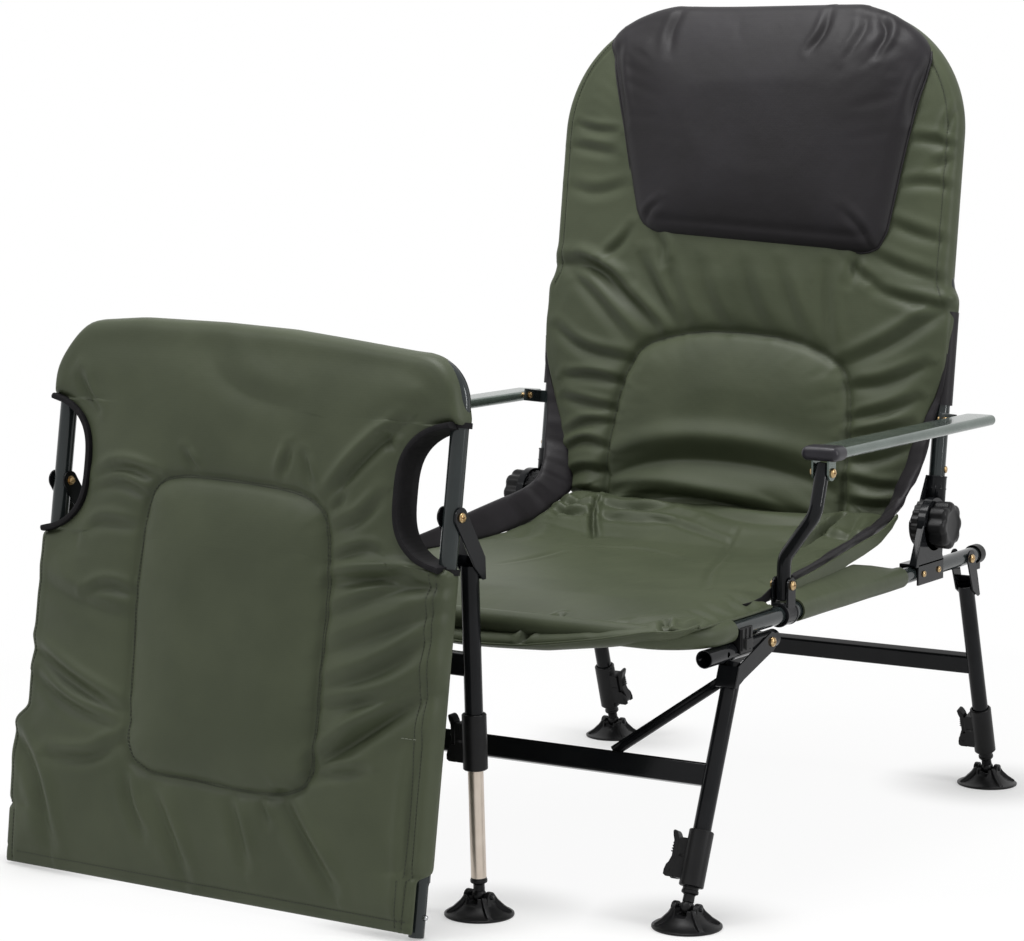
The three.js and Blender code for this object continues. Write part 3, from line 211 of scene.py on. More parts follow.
def grain(tree, shader, coords, size, strength, distance):
    """A fine uneven relief with grains of a size in millimetres."""
    noise = add(tree, "ShaderNodeTexNoise", [(coords.outputs["Object"], "Vector")],
                Scale=1000 / size, Detail=2.0)
    bump = add(tree, "ShaderNodeBump", [(noise.outputs["Fac"], "Height")],
               Strength=strength, Distance=distance / 1000)
    tree.links.new(bump.outputs["Normal"], shader.inputs["Normal"])


COARSER = 3.1416  # threads are drawn this much too wide, as finer ones don't show in the render


def woven(tree, shader, coords, thread, strength, depth):
    """Crossing threads of a width in millimetres, laid over a soft unevenness."""
    scale = 2 * math.pi / (20 * thread / 1000) / COARSER
    heights = []
    for direction in ("X", "Z"):
        wave = add(tree, "ShaderNodeTexWave", [(coords.outputs["Object"], "Vector")],
                   bands_direction=direction, Scale=scale, Distortion=0.6)
        heights.append(wave.outputs["Fac"])
    both = add(tree, "ShaderNodeMath", [(heights[0], 0), (heights[1], 1)], operation="ADD")
    weave = add(tree, "ShaderNodeBump", [(both.outputs[0], "Height")],
                Strength=strength, Distance=depth / 1000)
    noise = add(tree, "ShaderNodeTexNoise", [(coords.outputs["Object"], "Vector")],
                Scale=1000 / 34, Detail=4.0)
    soft = add(tree, "ShaderNodeBump",
               [(noise.outputs["Fac"], "Height"), (weave.outputs["Normal"], "Normal")],
               Strength=0.35, Distance=0.0022)
    tree.links.new(soft.outputs["Normal"], shader.inputs["Normal"])


def finish(name, colour, roughness, patches, relief, metallic=0.0, **values):
    """A material with patches of two near shades and a relief: one of two kinds, with its sizes."""
    material, *nodes = surface(name, colour, roughness, metallic, values)
    if patches:
        vary(*nodes, *patches)
    kind, *sizes = relief
    kind(*nodes, *sizes)
    return material


print("helpers for finishes ready")


# %% The finishes
# Tubes of seat, back and footrest: dark grey-green enamel, smooth and glossy
frame_paint = finish("frame_enamel", "#23292a", 0.16, ("#212728", "#282e2e", 60),
                     (grain, 1.2, 0.05, 0.05), 0.2, Coat__Weight=0.1, Specular__IOR__Level=0.35)
# Legs, brackets and support arms: black enamel
leg_paint = finish("black_enamel", "#151618", 0.12, ("#131416", "#191a1c", 50),
                   (grain, 1.2, 0.05, 0.05), Specular__IOR__Level=0.14)
# Armrests: grey-green metallic enamel
arm_paint = finish("armrest_enamel", "#56615b", 0.24, ("#525d57", "#5c6761", 45),
                   (grain, 0.9, 0.06, 0.04), 0.55, Coat__Weight=0.2)
# Inner legs: champagne anodised alloy with fine lines from drawing
alloy = finish("anodised_alloy", "#c9bdb0", 0.3, ("#c4b8ab", "#cfc4b8", 30), (grain, 0.6, 0.08, 0.03),
               0.85, Anisotropic=0.4)
# Bolts: yellow zinc
zinc = finish("yellow_zinc", "#a98d62", 0.3, ("#8f7450", "#c4ab80", 4), (grain, 0.7, 0.1, 0.03), 1.0)
# Spring buttons: bright steel
steel = finish("bright_steel", "#b9bbbd", 0.22, None, (grain, 0.5, 0.06, 0.02), 1.0)
# Locks, knobs, clips and feet: moulded black plastic with a fine grain
plastic = finish("black_plastic", "#101011", 0.4, ("#0e0e0f", "#141415", 25), (grain, 0.55, 0.25, 0.08),
                 Specular__IOR__Level=0.2)
# Armrest caps: black plastic with a purple cast
cap_plastic = finish("cap_plastic", "#1d1b21", 0.36, ("#1c1a20", "#232127", 20),
                     (grain, 0.5, 0.25, 0.07), Specular__IOR__Level=0.3)
# Covers: olive green polyester with a faint sheen
olive = finish("olive_polyester", "#40462f", 0.48, ("#3e4433", "#454b39", 90), (woven, 0.9, 0.12, 0.1),
               Specular__IOR__Level=0.2)
# Pillow and gussets: charcoal polyester
charcoal = finish("charcoal_polyester", "#1a181b", 0.5, ("#191719", "#1f1d20", 90),
                  (woven, 0.9, 0.12, 0.1), Specular__IOR__Level=0.2)
# Edge bindings and straps: black woven tape
tape = finish("black_tape", "#0f0e10", 0.7, ("#0d0c0e", "#131214", 12), (woven, 1.4, 0.3, 0.2),
              Specular__IOR__Level=0.15)
# Sewing thread, a little lighter than the cloth
thread = finish("olive_thread", "#6a6f60", 0.7, ("#65695b", "#727768", 3), (grain, 0.6, 0.3, 0.05))
thread_dark = finish("dark_thread", "#262a20", 0.7, ("#23271e", "#2c3026", 3), (grain, 0.6, 0.3, 0.05))
print("materials", len(bpy.data.materials))

# %% [markdown]
# ## Shapes
# A shape is a list of points and faces in millimetres. Tubes are swept along rounded lines, turned
# parts are lathed, pressed sheets are outlines with a thickness. Edges are rolled before pieces
# are put together, as they are on the real pressed and moulded parts.


# %% Basic shapes
def loft(rings, loop=False, caps=True):
    """A skin over rings of equally many points. With loop it closes on itself like a torus."""
    count = len(rings[0])
    verts = [tuple(p) for ring in rings for p in ring]
    faces = []
    spans = len(rings) if loop else len(rings) - 1
    for i in range(spans):
        a, b = i * count, ((i + 1) % len(rings)) * count
        for j in range(count):
            k = (j + 1) % count
            faces.append((a + j, a + k, b + k, b + j))
    if caps and not loop:
        faces.append(tuple(range(count - 1, -1, -1)))
        faces.append(tuple(range(len(verts) - count, len(verts))))
    return verts, faces


def merged(*shapes):
    verts, faces = [], []
    for v, f in shapes:
        start = len(verts)
        verts.extend(v)
        faces.extend(tuple(i + start for i in face) for face in f)
    return verts, faces


def moved(shape, matrix):
    return [tuple(matrix @ Vector(v)) for v in shape[0]], shape[1]


def aimed(shape, origin, direction):
    """Turns a shape's Z axis to a direction and moves its origin to a place."""
    turn = Vector(direction).to_track_quat("Z", "Y").to_matrix().to_4x4()
    return moved(shape, Matrix.Translation(Vector(origin)) @ turn)


def rounded(points, radius, step=6.0):
    """A line through points with its corners rounded to a radius, as a bent tube's axis."""
    points = [Vector(p) for p in points]
    line = [points[0]]
    for before, corner, after in zip(points, points[1:], points[2:]):
        a, b = (before - corner).normalized(), (after - corner).normalized()
        angle = math.pi - a.angle(b)
        if angle < 1e-4:
            line.append(corner)
            continue
        room = 0.49 * min((before - corner).length, (after - corner).length)
        tangent = min(radius * math.tan(angle / 2), room)
        real = tangent / math.tan(angle / 2)
        middle = corner + (a + b).normalized() * (real / math.cos(angle / 2))
        start = corner + a * tangent - middle
        axis = a.cross(b).normalized()
        steps = max(2, math.ceil(math.degrees(angle) / step))
        for i in range(steps + 1):
            turned = Matrix.Rotation(-angle * i / steps, 3, axis) @ start
            line.append(middle + turned)
    line.append(points[-1])
    return line


def frames(line):
    """Axes square to a line at each of its points, carried along without twisting."""
    tangents = []
    for i in range(len(line)):
        a, b = line[max(i - 1, 0)], line[min(i + 1, len(line) - 1)]
        tangents.append((b - a).normalized())
    first = tangents[0].orthogonal().normalized()
    result = []
    for tangent in tangents:
        first = (first - tangent * first.dot(tangent)).normalized()
        result.append((first, tangent.cross(first)))
    return result


def ringed(line, radii, count):
    rings = []
    for p, r, (a, b) in zip(line, radii, frames(line)):
        ring = []
        for j in range(count):
            angle = 2 * math.pi * j / count
            ring.append(p + (a * math.cos(angle) + b * math.sin(angle)) * r)
        rings.append(ring)
    return rings


def rod(line, radius, count=32, ease=0.0):
    """A solid round bar along a line, its ends eased by a small radius."""
    line = [Vector(p) for p in line]
    radii = [radius] * len(line)
    if ease > 0:
        a, b = (line[1] - line[0]).normalized(), (line[-1] - line[-2]).normalized()
        line = [line[0], line[0] + a * ease, *line[1:-1], line[-1] - b * ease, line[-1]]
        radii = [radius - ease, radius, *radii[1:-1], radius, radius - ease]
    return loft(ringed(line, radii, count))


def tube(line, radius, wall=WALL, count=36):
    """A tube with open ends along a line: its outside, its bore and the rings at its ends."""
    line = [Vector(p) for p in line]
    outside = ringed(line, [radius] * len(line), count)
    inside = ringed(line, [radius - wall] * len(line), count)
    return loft(outside + inside[::-1], loop=True)


def lathe(profile, count=48):
    """A body turned from (radius, height) points about the Z axis."""
    rings = []
    for radius, height in profile:
        angles = [2 * math.pi * j / count for j in range(count)]
        rings.append([(radius * math.cos(a), radius * math.sin(a), height) for a in angles])
    return loft(rings)


def rolled(shape, width, segments=2, angle=28.0):
    """The shape with its sharp edges rounded by a width."""
    bm = bmesh.new()
    fill(bm, shape)
    bmesh.ops.recalc_face_normals(bm, faces=bm.faces)
    sharp = [e for e in bm.edges if e.is_manifold and e.calc_face_angle(0) > math.radians(angle)]
    bmesh.ops.bevel(bm, geom=sharp, offset=width, offset_type="OFFSET", segments=segments,
                    profile=0.6, affect="EDGES", clamp_overlap=True)
    bm.verts.index_update()
    result = [tuple(v.co) for v in bm.verts], [tuple(v.index for v in f.verts) for f in bm.faces]
    bm.free()
    return result


def fill(bm, shape):
    made = [bm.verts.new(v) for v in shape[0]]
    for face in shape[1]:
        if len(set(face)) > 2:
            bm.faces.new([made[i] for i in face])
    bmesh.ops.remove_doubles(bm, verts=bm.verts, dist=0.0005)


def box(low, high, width=0.6):
    (x0, x1), (y0, y1), (z0, z1) = (sorted(pair) for pair in zip(low, high))
    shape = loft([[(x0, y0, z), (x1, y0, z), (x1, y1, z), (x0, y1, z)] for z in (z0, z1)])
    return rolled(shape, min(width, 0.3 * min(x1 - x0, y1 - y0, z1 - z0))) if width else shape


def plate(outline, low, high, axis="X", width=0.5):
    """A sheet of an outline: (y, z) between two x, (x, z) between two y or (x, y) between two z."""
    def point(a, b, c):
        return {"X": (c, a, b), "Y": (a, c, b), "Z": (a, b, c)}[axis]

    shape = loft([[point(a, b, c) for a, b in outline] for c in (low, high)])
    return rolled(shape, width) if width else shape


def arc(y, z, radius, start, end, steps):
    """Points round a centre (y, z) from one angle to another."""
    angles = [start + (end - start) * i / steps for i in range(steps + 1)]
    return [(y + radius * math.cos(a), z + radius * math.sin(a)) for a in angles]


def flipped(shape, sign):
    """The shape as it is for the right side, or mirrored for the left."""
    return shape if sign > 0 else ([(-x, y, z) for x, y, z in shape[0]], shape[1])


print("basic shapes ready")


# %% Turning shapes into pieces
def mesh_object(name, shape, matrix, material):
    """A mesh in the row frame in metres, with its normals outward and its object at the origin."""
    bm = bmesh.new()
    fill(bm, shape)
    bm.transform(Matrix.Scale(0.001, 4) @ matrix)
    bmesh.ops.recalc_face_normals(bm, faces=bm.faces)
    for face in bm.faces:
        face.smooth = True
    for edge in bm.edges:
        if edge.is_manifold and edge.calc_face_angle(0) > math.radians(42):
            edge.smooth = False
    mesh = bpy.data.meshes.new(name)
    bm.to_mesh(mesh)
    bm.free()
    mesh.materials.append(material)
    made = bpy.data.objects.new(name, mesh)
    scene.collection.objects.link(made)
    return made


def settle(made):
    """Applies the modifiers of an object and leaves plain mesh."""
    graph = bpy.context.evaluated_depsgraph_get()
    mesh = bpy.data.meshes.new_from_object(made.evaluated_get(graph))
    made.modifiers.clear()
    made.data = mesh
    return made


def carve(made, cutter):
    """Takes the shape of a second object out of the first, as a drill or a mill does."""
    step = made.modifiers.new("carve", "BOOLEAN")
    step.operation = "DIFFERENCE"
    step.solver = "EXACT"
    step.use_self = True
    step.object = cutter
    settle(made)
    bpy.data.objects.remove(cutter)
    return made


def weigh(made):
    """Weights the normals by face size, so that flats look flat beside their rolled edges."""
    step = made.modifiers.new("weigh", "WEIGHTED_NORMAL")
    step.keep_sharp = True
    return settle(made)


def hand_over(made, body, replaces=()):
    """Says which body a finished piece rides on and which nodes it replaces."""
    if body:
        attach(made, body)
    if replaces:
        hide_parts(*replaces)


def piece(name, shape, matrix, body, material, *replaces, holes=None, slotted=True):
    """A hard piece of one material, with holes carved out if any are given."""
    made = mesh_object(name, shape, matrix, material)
    if holes is not None:
        carve(made, mesh_object(name + "_cutter", holes, matrix, material))
    hand_over(weigh(made), body, replaces)


print("shape helpers ready")

# %% [markdown]
# ## Repeated hardware
# Bolts, nuts and stitches are set out by Geometry Nodes: a few points or a line go in, and one
# small model is copied onto them. The result is turned into plain mesh, one piece per body.


# %% Hardware by Geometry Nodes
def bolt_model():
    """A pan head with a cross recess, its face towards +Z, for a shaft of 6 mm."""
    profile = [(0, 0), (5.4, 0), (5.6, 0.4), (5.5, 1.6), (4.9, 2.6), (3.9, 3.25), (2.4, 3.6), (0, 3.7)]
    made = mesh_object("bolt_model", lathe(profile, 28), Matrix(), zinc)
    arm = merged(
        box((-3.1, -0.62, 1.7), (3.1, 0.62, 6), 0.15),
        box((-0.62, -3.1, 1.7), (0.62, 3.1, 6), 0.15),
    )
    carve(made, mesh_object("bolt_cross", arm, Matrix(), zinc))
    return made


def washer_model():
    """A nut on a washer, as on a bolt's far end."""
    hexagon = arc(0, 0, 4.9, 0, 5 * math.pi / 3, 5)
    shape = merged(
        lathe([(0, 0), (6.0, 0), (6.0, 0.9), (0, 0.9)], 28),
        plate(hexagon, 0.8, 3.9, "Z", 0.4),
        lathe([(0, 3), (2.8, 3), (2.8, 4.4), (2.3, 4.9), (0, 4.9)], 20),
    )
    return mesh_object("washer_model", shape, Matrix(), zinc)


def stitch_model():
    line = [(-1, 0, 0), (-0.7, 0, 0.22), (0, 0, 0.32), (0.7, 0, 0.22), (1, 0, 0)]
    return mesh_object("stitch_model", rod(line, 0.3, 6), Matrix(), thread)


def start_tree(title, **sizes):
    """A tree with its geometry, a model, a material and named sizes as inputs."""
    tree = bpy.data.node_groups.new(title, "GeometryNodeTree")
    kinds = {"Geometry": "Geometry", "Model": "Object", "Material": "Material"}
    kinds.update({size: "Float" for size in sizes})
    names = {}
    for name, kind in kinds.items():
        socket = tree.interface.new_socket(name, in_out="INPUT", socket_type="NodeSocket" + kind)
        if name in sizes:
            socket.default_value = sizes[name]
        names[name] = socket.identifier
    tree.interface.new_socket("Result", in_out="OUTPUT", socket_type="NodeSocketGeometry")
    return tree, names, add(tree, "NodeGroupInput")


def end_tree(tree, source, points, toward, axis, size):
    """Copies the model onto the points, an axis of it turned toward a vector, as painted mesh."""
    align = add(tree, "FunctionNodeAlignRotationToVector", [(toward, "Vector")], axis=axis)
    model = add(tree, "GeometryNodeObjectInfo", [(source.outputs["Model"], "Object")])
    model.transform_space = "ORIGINAL"
    spots = add(tree, "GeometryNodeInstanceOnPoints",
                [(points, "Points"), (model.outputs["Geometry"], "Instance"),
                 (align.outputs["Rotation"], "Rotation"), (size, "Scale")])
    real = add(tree, "GeometryNodeRealizeInstances", [(spots.outputs["Instances"], "Geometry")])
    painted = add(tree, "GeometryNodeSetMaterial",
                  [(real.outputs["Geometry"], "Geometry"), (source.outputs["Material"], "Material")])
    sink = add(tree, "NodeGroupOutput")
    tree.links.new(painted.outputs["Geometry"], sink.inputs["Result"])


def scatter_tree():
    """Points with a facing and a size in: a model on every point out."""
    tree, names, source = start_tree("hardware on points")
    facing, size = (
        add(tree, "GeometryNodeInputNamedAttribute", data_type="FLOAT_VECTOR", Name=name).outputs["Attribute"]
        for name in ("facing", "size")
    )
    end_tree(tree, source, source.outputs["Geometry"], facing, "Z", size)
    return tree, names


def stitch_tree():
    """A line in: stitches along it at an even spacing out."""
    tree, names, source = start_tree("stitches on a line", Pitch=0.006, Size=1.0)
    curve = add(tree, "GeometryNodeMeshToCurve", [(source.outputs["Geometry"], "Mesh")])
    even = add(tree, "GeometryNodeResampleCurve", [(curve.outputs["Curve"], "Curve")])
    even.mode = "LENGTH"
    tree.links.new(source.outputs["Pitch"], even.inputs["Length"])
    tangent = add(tree, "GeometryNodeInputTangent")
    end_tree(tree, source, even.outputs["Curve"], tangent.outputs["Tangent"], "X", source.outputs["Size"])
    return tree, names


SCATTER, SCATTER_IN = scatter_tree()
STITCH, STITCH_IN = stitch_tree()
MODELS = {"bolt": bolt_model(), "washer": washer_model(), "stitch": stitch_model()}
for model in MODELS.values():
    model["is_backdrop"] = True
    model.hide_render = True
    model.hide_viewport = True


def nodes_piece(name, mesh, tree, settings, body):
    """A mesh put through a tree and turned into plain mesh, as one piece."""
    made = bpy.data.objects.new(name, mesh)
    scene.collection.objects.link(made)
    step = made.modifiers.new("nodes", "NODES")
    step.node_group = tree
    for key, value in settings.items():
        step[key] = value
    hand_over(settle(made), body)


def hardware(name, spots, model, matrix, body):
    """Spots are (place, facing, size) in millimetres in the frame of matrix."""
    mesh = bpy.data.meshes.new(name)
    places = [Matrix.Scale(0.001, 4) @ matrix @ Vector(p) for p, _, _ in spots]
    mesh.from_pydata([tuple(p) for p in places], [], [])
    facing = mesh.attributes.new("facing", "FLOAT_VECTOR", "POINT")
    size = mesh.attributes.new("size", "FLOAT_VECTOR", "POINT")
    for i, (_, direction, scale) in enumerate(spots):
        facing.data[i].vector = (matrix.to_3x3() @ Vector(direction)).normalized()
        size.data[i].vector = (scale, scale, scale)
    settings = {SCATTER_IN["Model"]: MODELS[model], SCATTER_IN["Material"]: zinc}
    nodes_piece(name, mesh, SCATTER, settings, body)


def stitches(name, lines, pitch, size, body, material):
    """Lines are lists of points in the row frame in metres. Size is half a stitch in mm."""
    verts, edges = [], []
    for line in lines:
        start = len(verts)
        verts.extend(tuple(p) for p in line)
        edges.extend((start + i, start + i + 1) for i in range(len(line) - 1))
    mesh = bpy.data.meshes.new(name)
    mesh.from_pydata(verts, edges, [])
    values = {"Model": MODELS["stitch"], "Material": material, "Pitch": pitch / 1000, "Size": size}
    nodes_piece(name, mesh, STITCH, {STITCH_IN[key]: value for key, value in values.items()}, body)


print("hardware models", sorted(MODELS))

# %% [markdown]
# ## Seat frame, sockets and clips
# The seat frame is one bent tube. Under each side hangs a short open tube that takes the end of
# the footrest, held by a ribbed plastic clip. Rings and clips are bored out for the tubes, so
# that they sit round them as the real mouldings do.

# %% Seat frame and footrest sockets
SEAT_CORNERS = ((HALF, SEAT_REAR), (HALF, SEAT_FRONT), (-HALF, SEAT_FRONT), (-HALF, SEAT_REAR))
SEAT_LINE = rounded([(x, y, SEAT_Z) for x, y in SEAT_CORNERS], 60)
RING = 10.7  # bore of a ring round one of the tubes
piece("seat_tube", tube(SEAT_LINE, TUBE), AT_SEAT, "chair", frame_paint, "seat_frame")


def along_x(x0, x1, y, z, radius, count=20):
    return rod([(x0, y, z), (x1, y, z)], radius, count)


def along_y(z, y0, y1, radius, count=36, x=HALF):
    return rod([(x, y0, z), (x, y1, z)], radius, count)


def along_z(z0, z1, radius, count=36, x=0.0, y=0.0):
    return rod([(x, y, z0), (x, y, z1)], radius, count)


def soft_ring(shape, width=0.5):
    """A turned ring with only its end edges rolled."""
    return rolled(shape, width, angle=60)


for side, sign in SIDES:
    socket = tube([(HALF, -420, SOCKET_Z), (HALF, -260, SOCKET_Z)], TUBE, 1.1)
    piece(f"footrest_socket_{side}_tube", flipped(socket, sign), AT_SEAT, "chair", leg_paint,
          f"footrest_socket_{side}",
          holes=flipped(along_x(HALF, HALF + 15, -382, SOCKET_Z, 3.2), sign))
    half = RING + 2.8
    ribs = [
        box((HALF - half - 1.3, y, SOCKET_Z + 1), (HALF + half + 1.3, y + 4.6, SEAT_Z + 2), 0.5)
        for y in (-360, -350.5, -341)
    ]
    clip = merged(
        soft_ring(along_y(SEAT_Z, -362, -334, half, 48), 0.6),
        box((HALF - half, -362, SOCKET_Z - 2), (HALF + half, -334, SEAT_Z), 0.8),
        box((HALF + half - 1, -356, SEAT_Z - 20), (HALF + half + 4.2, -340, SEAT_Z - 9), 1.2),
        *ribs,
    )
    bores = merged(along_y(SEAT_Z, -380, -320, RING), along_y(SOCKET_Z, -380, -320, RING),
                   box((HALF - 30, -380, SEAT_Z + 3), (HALF + 30, -320, SEAT_Z + 40), 0))
    piece(f"socket_clip_{side}_body", flipped(clip, sign), AT_SEAT, "chair", plastic,
          f"socket_clip_{side}", holes=flipped(bores, sign))
    cap = merged(
        soft_ring(along_y(SEAT_Z, 293, 308, RING + 1.6, 48), 0.8),
        box((HALF - 4.5, 293, SEAT_Z - 19.5), (HALF + 4.5, 308, SEAT_Z - 11), 0.8),
    )
    piece(f"seat_tube_cap_{side}_body", flipped(cap, sign), AT_SEAT, "chair", plastic,
          f"seat_tube_cap_{side}", holes=flipped(along_y(SEAT_Z, 280, SEAT_REAR + 0.5, RING), sign))
print("seat frame and sockets done")

# %% [markdown]
# ## Recline hinge
# Two toothed discs are clamped together by a lobed knob. The seat's bracket is pressed sheet: a
# saddle riveted over the tube, a strap and a rim that stands round the outer disc.

# %% Hinge brackets, discs and knobs
PLATE_X = HALF + TUBE + 0.3
OUTER_X = PLATE_X + 2.6
OUTER_DISC = PLATE_X - 0.3 - 8.6
INNER_DISC = OUTER_DISC - 0.3 - 8.6
ARM_OUT = INNER_DISC - 0.3
ARM_IN = ARM_OUT - 2.6
KNOB_X = OUTER_X + 0.3
MIDDLE = RECLINE.y - 11


def toothed(x, y, z):
    """A ratchet disc with twenty teeth, rounded at crest and root."""
    outline = []
    for i in range(120):
        angle = 2 * math.pi * i / 120
        radius = 28 + 0.8 * (1 - math.cos(20 * angle))
        outline.append((y + radius * math.cos(angle), z + radius * math.sin(angle)))
    return plate(outline, x, x + 8.6)


def lobed(inset):
    """The knob's outline: eight lobes with narrow valleys."""
    ring = []
    for i in range(96):
        angle = 2 * math.pi * i / 96
        radius = 29.2 - inset - 3.4 * (0.5 - 0.5 * math.cos(8 * angle)) ** 1.6
        ring.append((radius * math.cos(angle), radius * math.sin(angle)))
    return ring


def knob():
    steps = [(0, 2.2), (0.8, 1.2), (2.2, 0.6), (17.5, 0), (19.8, 0.7), (21.6, 2.1), (22.7, 4.2), (23, 6.5)]
    rings = [[(KNOB_X + x, a, b) for a, b in lobed(inset)] for x, inset in steps]
    for x, radius in ((22.9, 19), (21.8, 17.4), (21.4, 12), (21.2, 0.01)):
        circle = arc(0, 0, radius, 0, 2 * math.pi, 96)[:-1]
        rings.append([(KNOB_X + x, a, b) for a, b in circle])
    nut = arc(0, 0, 7.6, 0, 5 * math.pi / 3, 5)
    bolt = merged(plate(nut, ARM_IN - 4.6, ARM_IN - 0.3), along_x(ARM_IN - 4.8, KNOB_X + 0.6, 0, 0, 3.8))
    return loft(rings), bolt


for side, sign in SIDES:
    y, z = RECLINE.y, RECLINE.z
    top = SEAT_Z + TUBE + 2.9
    low = SEAT_Z - TUBE - 3
    inner = 2 * HALF - OUTER_X
    channel = [
        (inner, low), (inner, top), (OUTER_X, top), (OUTER_X, low), (PLATE_X, low), (PLATE_X, top - 2.6),
        (inner + 2.6, top - 2.6), (inner + 2.6, low),
    ]
    strap = [
        (MIDDLE - 44, top - 3), (MIDDLE - 42, top + 6), (y - 32.6, z + 2), (y + 24, z - 14),
        (MIDDLE + 33, top + 5), (MIDDLE + 37, top - 3),
    ]
    rim = [(MIDDLE - 40.6, top - 0.5), (MIDDLE - 43.2, top - 0.5), *arc(y, z, 32.8, 3.2, -0.1, 56)]
    rim += arc(y, z, 30.2, -0.1, 3.16, 56)
    shape = merged(
        plate(channel, MIDDLE - 37, MIDDLE + 37, "Y", 0.7),
        plate(arc(y, z, 32.8, 0, 2 * math.pi, 64)[:-1], PLATE_X, OUTER_X),
        plate(strap, PLATE_X, OUTER_X),
        plate(rim, OUTER_X - 10, OUTER_X - 0.3, width=0.4),
    )
    piece(f"hinge_bracket_{side}_body", flipped(shape, sign), AT_SEAT, "chair", leg_paint,
          f"seat_hinge_bracket_{side}")
    piece(f"hinge_disc_outer_{side}", flipped(toothed(OUTER_DISC, y, z), sign), AT_SEAT, "chair", plastic,
          f"seat_hinge_disc_{side}")
    head, bolt = knob()
    at_knob = SHIFT @ Matrix.Translation(RECLINE)
    piece(f"recline_knob_{side}_grip", flipped(head, sign), at_knob, f"knob_{side}", plastic,
          f"recline_knob_{side}")
    piece(f"recline_knob_{side}_bolt", flipped(bolt, sign), at_knob, f"knob_{side}", zinc)
spots = []
for side, sign in SIDES:
    for y in (MIDDLE - 22, MIDDLE + 22):
        spots.append(((sign * OUTER_X, y, SEAT_Z), (sign, 0, 0), 0.72))
hardware("hinge_bracket_bolts", spots, "bolt", AT_SEAT, "chair")
print("hinges done, the knobs' outer faces at x", round(KNOB_X + 23, 1))

# %% [markdown]
# ## Support arms and their clamps
# Each armrest stands on a bent tube between two forks. The lower fork is a sheet ring round the
# seat tube. The bolts show their cross recess outboard and a washer inboard.

# %% Clamps and support arms
FORK = 8.4
for side, sign in SIDES:
    y, z = ARM_FOOT.y, ARM_FOOT.z
    outline = [(y - 9, SEAT_Z + 4), *arc(y, z, 9, math.pi, 0, 24), (y + 9, SEAT_Z + 4)]
    ears = [plate(outline, HALF + x, HALF + x + 2.5, width=0.4) for x in (FORK, -FORK - 2.5)]
    ring = soft_ring(along_y(SEAT_Z, y - 13, y + 13, RING + 2.4, 48))
    beads = [soft_ring(along_y(SEAT_Z, a, a + 3, RING + 3.1, 48), 0.8) for a in (y - 13, y + 10)]
    seat_block = box((HALF - 9, y - 11, SEAT_Z + 9), (HALF + 9, y + 11, SEAT_Z + 13.6), 0.5)
    piece(f"arm_clamp_{side}_body", flipped(merged(ring, *beads, *ears, seat_block), sign), AT_SEAT,
          "chair", leg_paint, f"arm_clamp_{side}",
          holes=flipped(along_y(SEAT_Z, y - 30, y + 30, RING), sign))
    at_arm = SHIFT @ Matrix.Translation((sign * HALF, ARM_FOOT.y, ARM_FOOT.z))
    line = rounded([(0, 0, -17), (0, 1, 30), (45, -13, 84), (45, 6, 139)], 24)
    piece(f"support_arm_{side}_tube", flipped(rod(line, 8, 32, 0.8), sign), at_arm, f"support_arm_{side}",
          leg_paint, f"support_arm_{side}")
spots, nuts = [], []
for side, sign in SIDES:
    x = sign * HALF
    spots.append(((x + sign * 10.9, ARM_FOOT.y, ARM_FOOT.z), (sign, 0, 0), 1))
    nuts.append(((x - sign * 10.9, ARM_FOOT.y, ARM_FOOT.z), (-sign, 0, 0), 1))
hardware("arm_clamp_bolts", spots, "bolt", AT_SEAT, "chair")
hardware("arm_clamp_nuts", nuts, "washer", AT_SEAT, "chair")
print("hinges and support arms done")

# %% [markdown]
# ## Back frame
# One bent tube that steps in above the armrests. Flat lugs on its sides carry the armrests, and
# at its feet two stamped arms with sleeves hold the inner toothed discs.

# %% Back frame, lugs and hinge arms
TOP_HALF = HALF - 9
BACK_POINTS = [
    (HALF, BACK_Y, 42), (HALF, BACK_Y, 268), (TOP_HALF, BACK_Y, 312), (TOP_HALF, BACK_Y, BACK_TOP),
    (-TOP_HALF, BACK_Y, BACK_TOP), (-TOP_HALF, BACK_Y, 312), (-HALF, BACK_Y, 268), (-HALF, BACK_Y, 42),
]
BEND = 146.0  # of the two top corners, as the photograph shows them
BACK_LINE = rounded(BACK_POINTS, BEND, 4)
pivot = turn_x(BACK_LEAN) @ Vector((0, 6, 129))
LUG_X = 300.0
lug = merged(
    box((HALF + 4, 16.8, pivot.z - 8), (LUG_X, 26.8, pivot.z + 8), 0.8),
    box((LUG_X - 3.5, pivot.y - 8, pivot.z - 8), (LUG_X, 26.8, pivot.z + 8), 1.2),
)
shape = merged(tube(BACK_LINE, TUBE), lug, flipped(lug, -1))
piece("back_tube", shape, AT_BACK, "backrest", frame_paint, "back_frame")
for side, sign in SIDES:
    edge = [(31.8, 42.8), (26.8, 59.8), (11.8, 59.8), (-4, 22.4), (-14, 19)]
    outline = arc(0, 0, 28, math.pi, 2 * math.pi, 40) + edge
    at_sleeve = dict(x=HALF, y=BACK_Y)
    sleeve_ring = soft_ring(along_z(16, 59.8, RING + 1.8, 48, **at_sleeve))
    rings = [soft_ring(along_z(a, a + 2, RING + 2.3, 48, **at_sleeve)) for a in (43, 57.6)]
    arm = merged(plate(outline, ARM_IN, ARM_OUT), sleeve_ring, *rings)
    drill = merged(along_z(10, 80, RING, 32, **at_sleeve), along_x(ARM_OUT + 0.1, 310, 0, 0, 33.6, 72))
    piece(f"hinge_arm_{side}_body", flipped(arm, sign), AT_BACK, "backrest", leg_paint,
          f"back_hinge_arm_{side}", holes=flipped(drill, sign))
    piece(f"hinge_disc_inner_{side}", flipped(toothed(INNER_DISC, 0, 0), sign), AT_BACK, "backrest",
          plastic, f"back_hinge_disc_{side}")
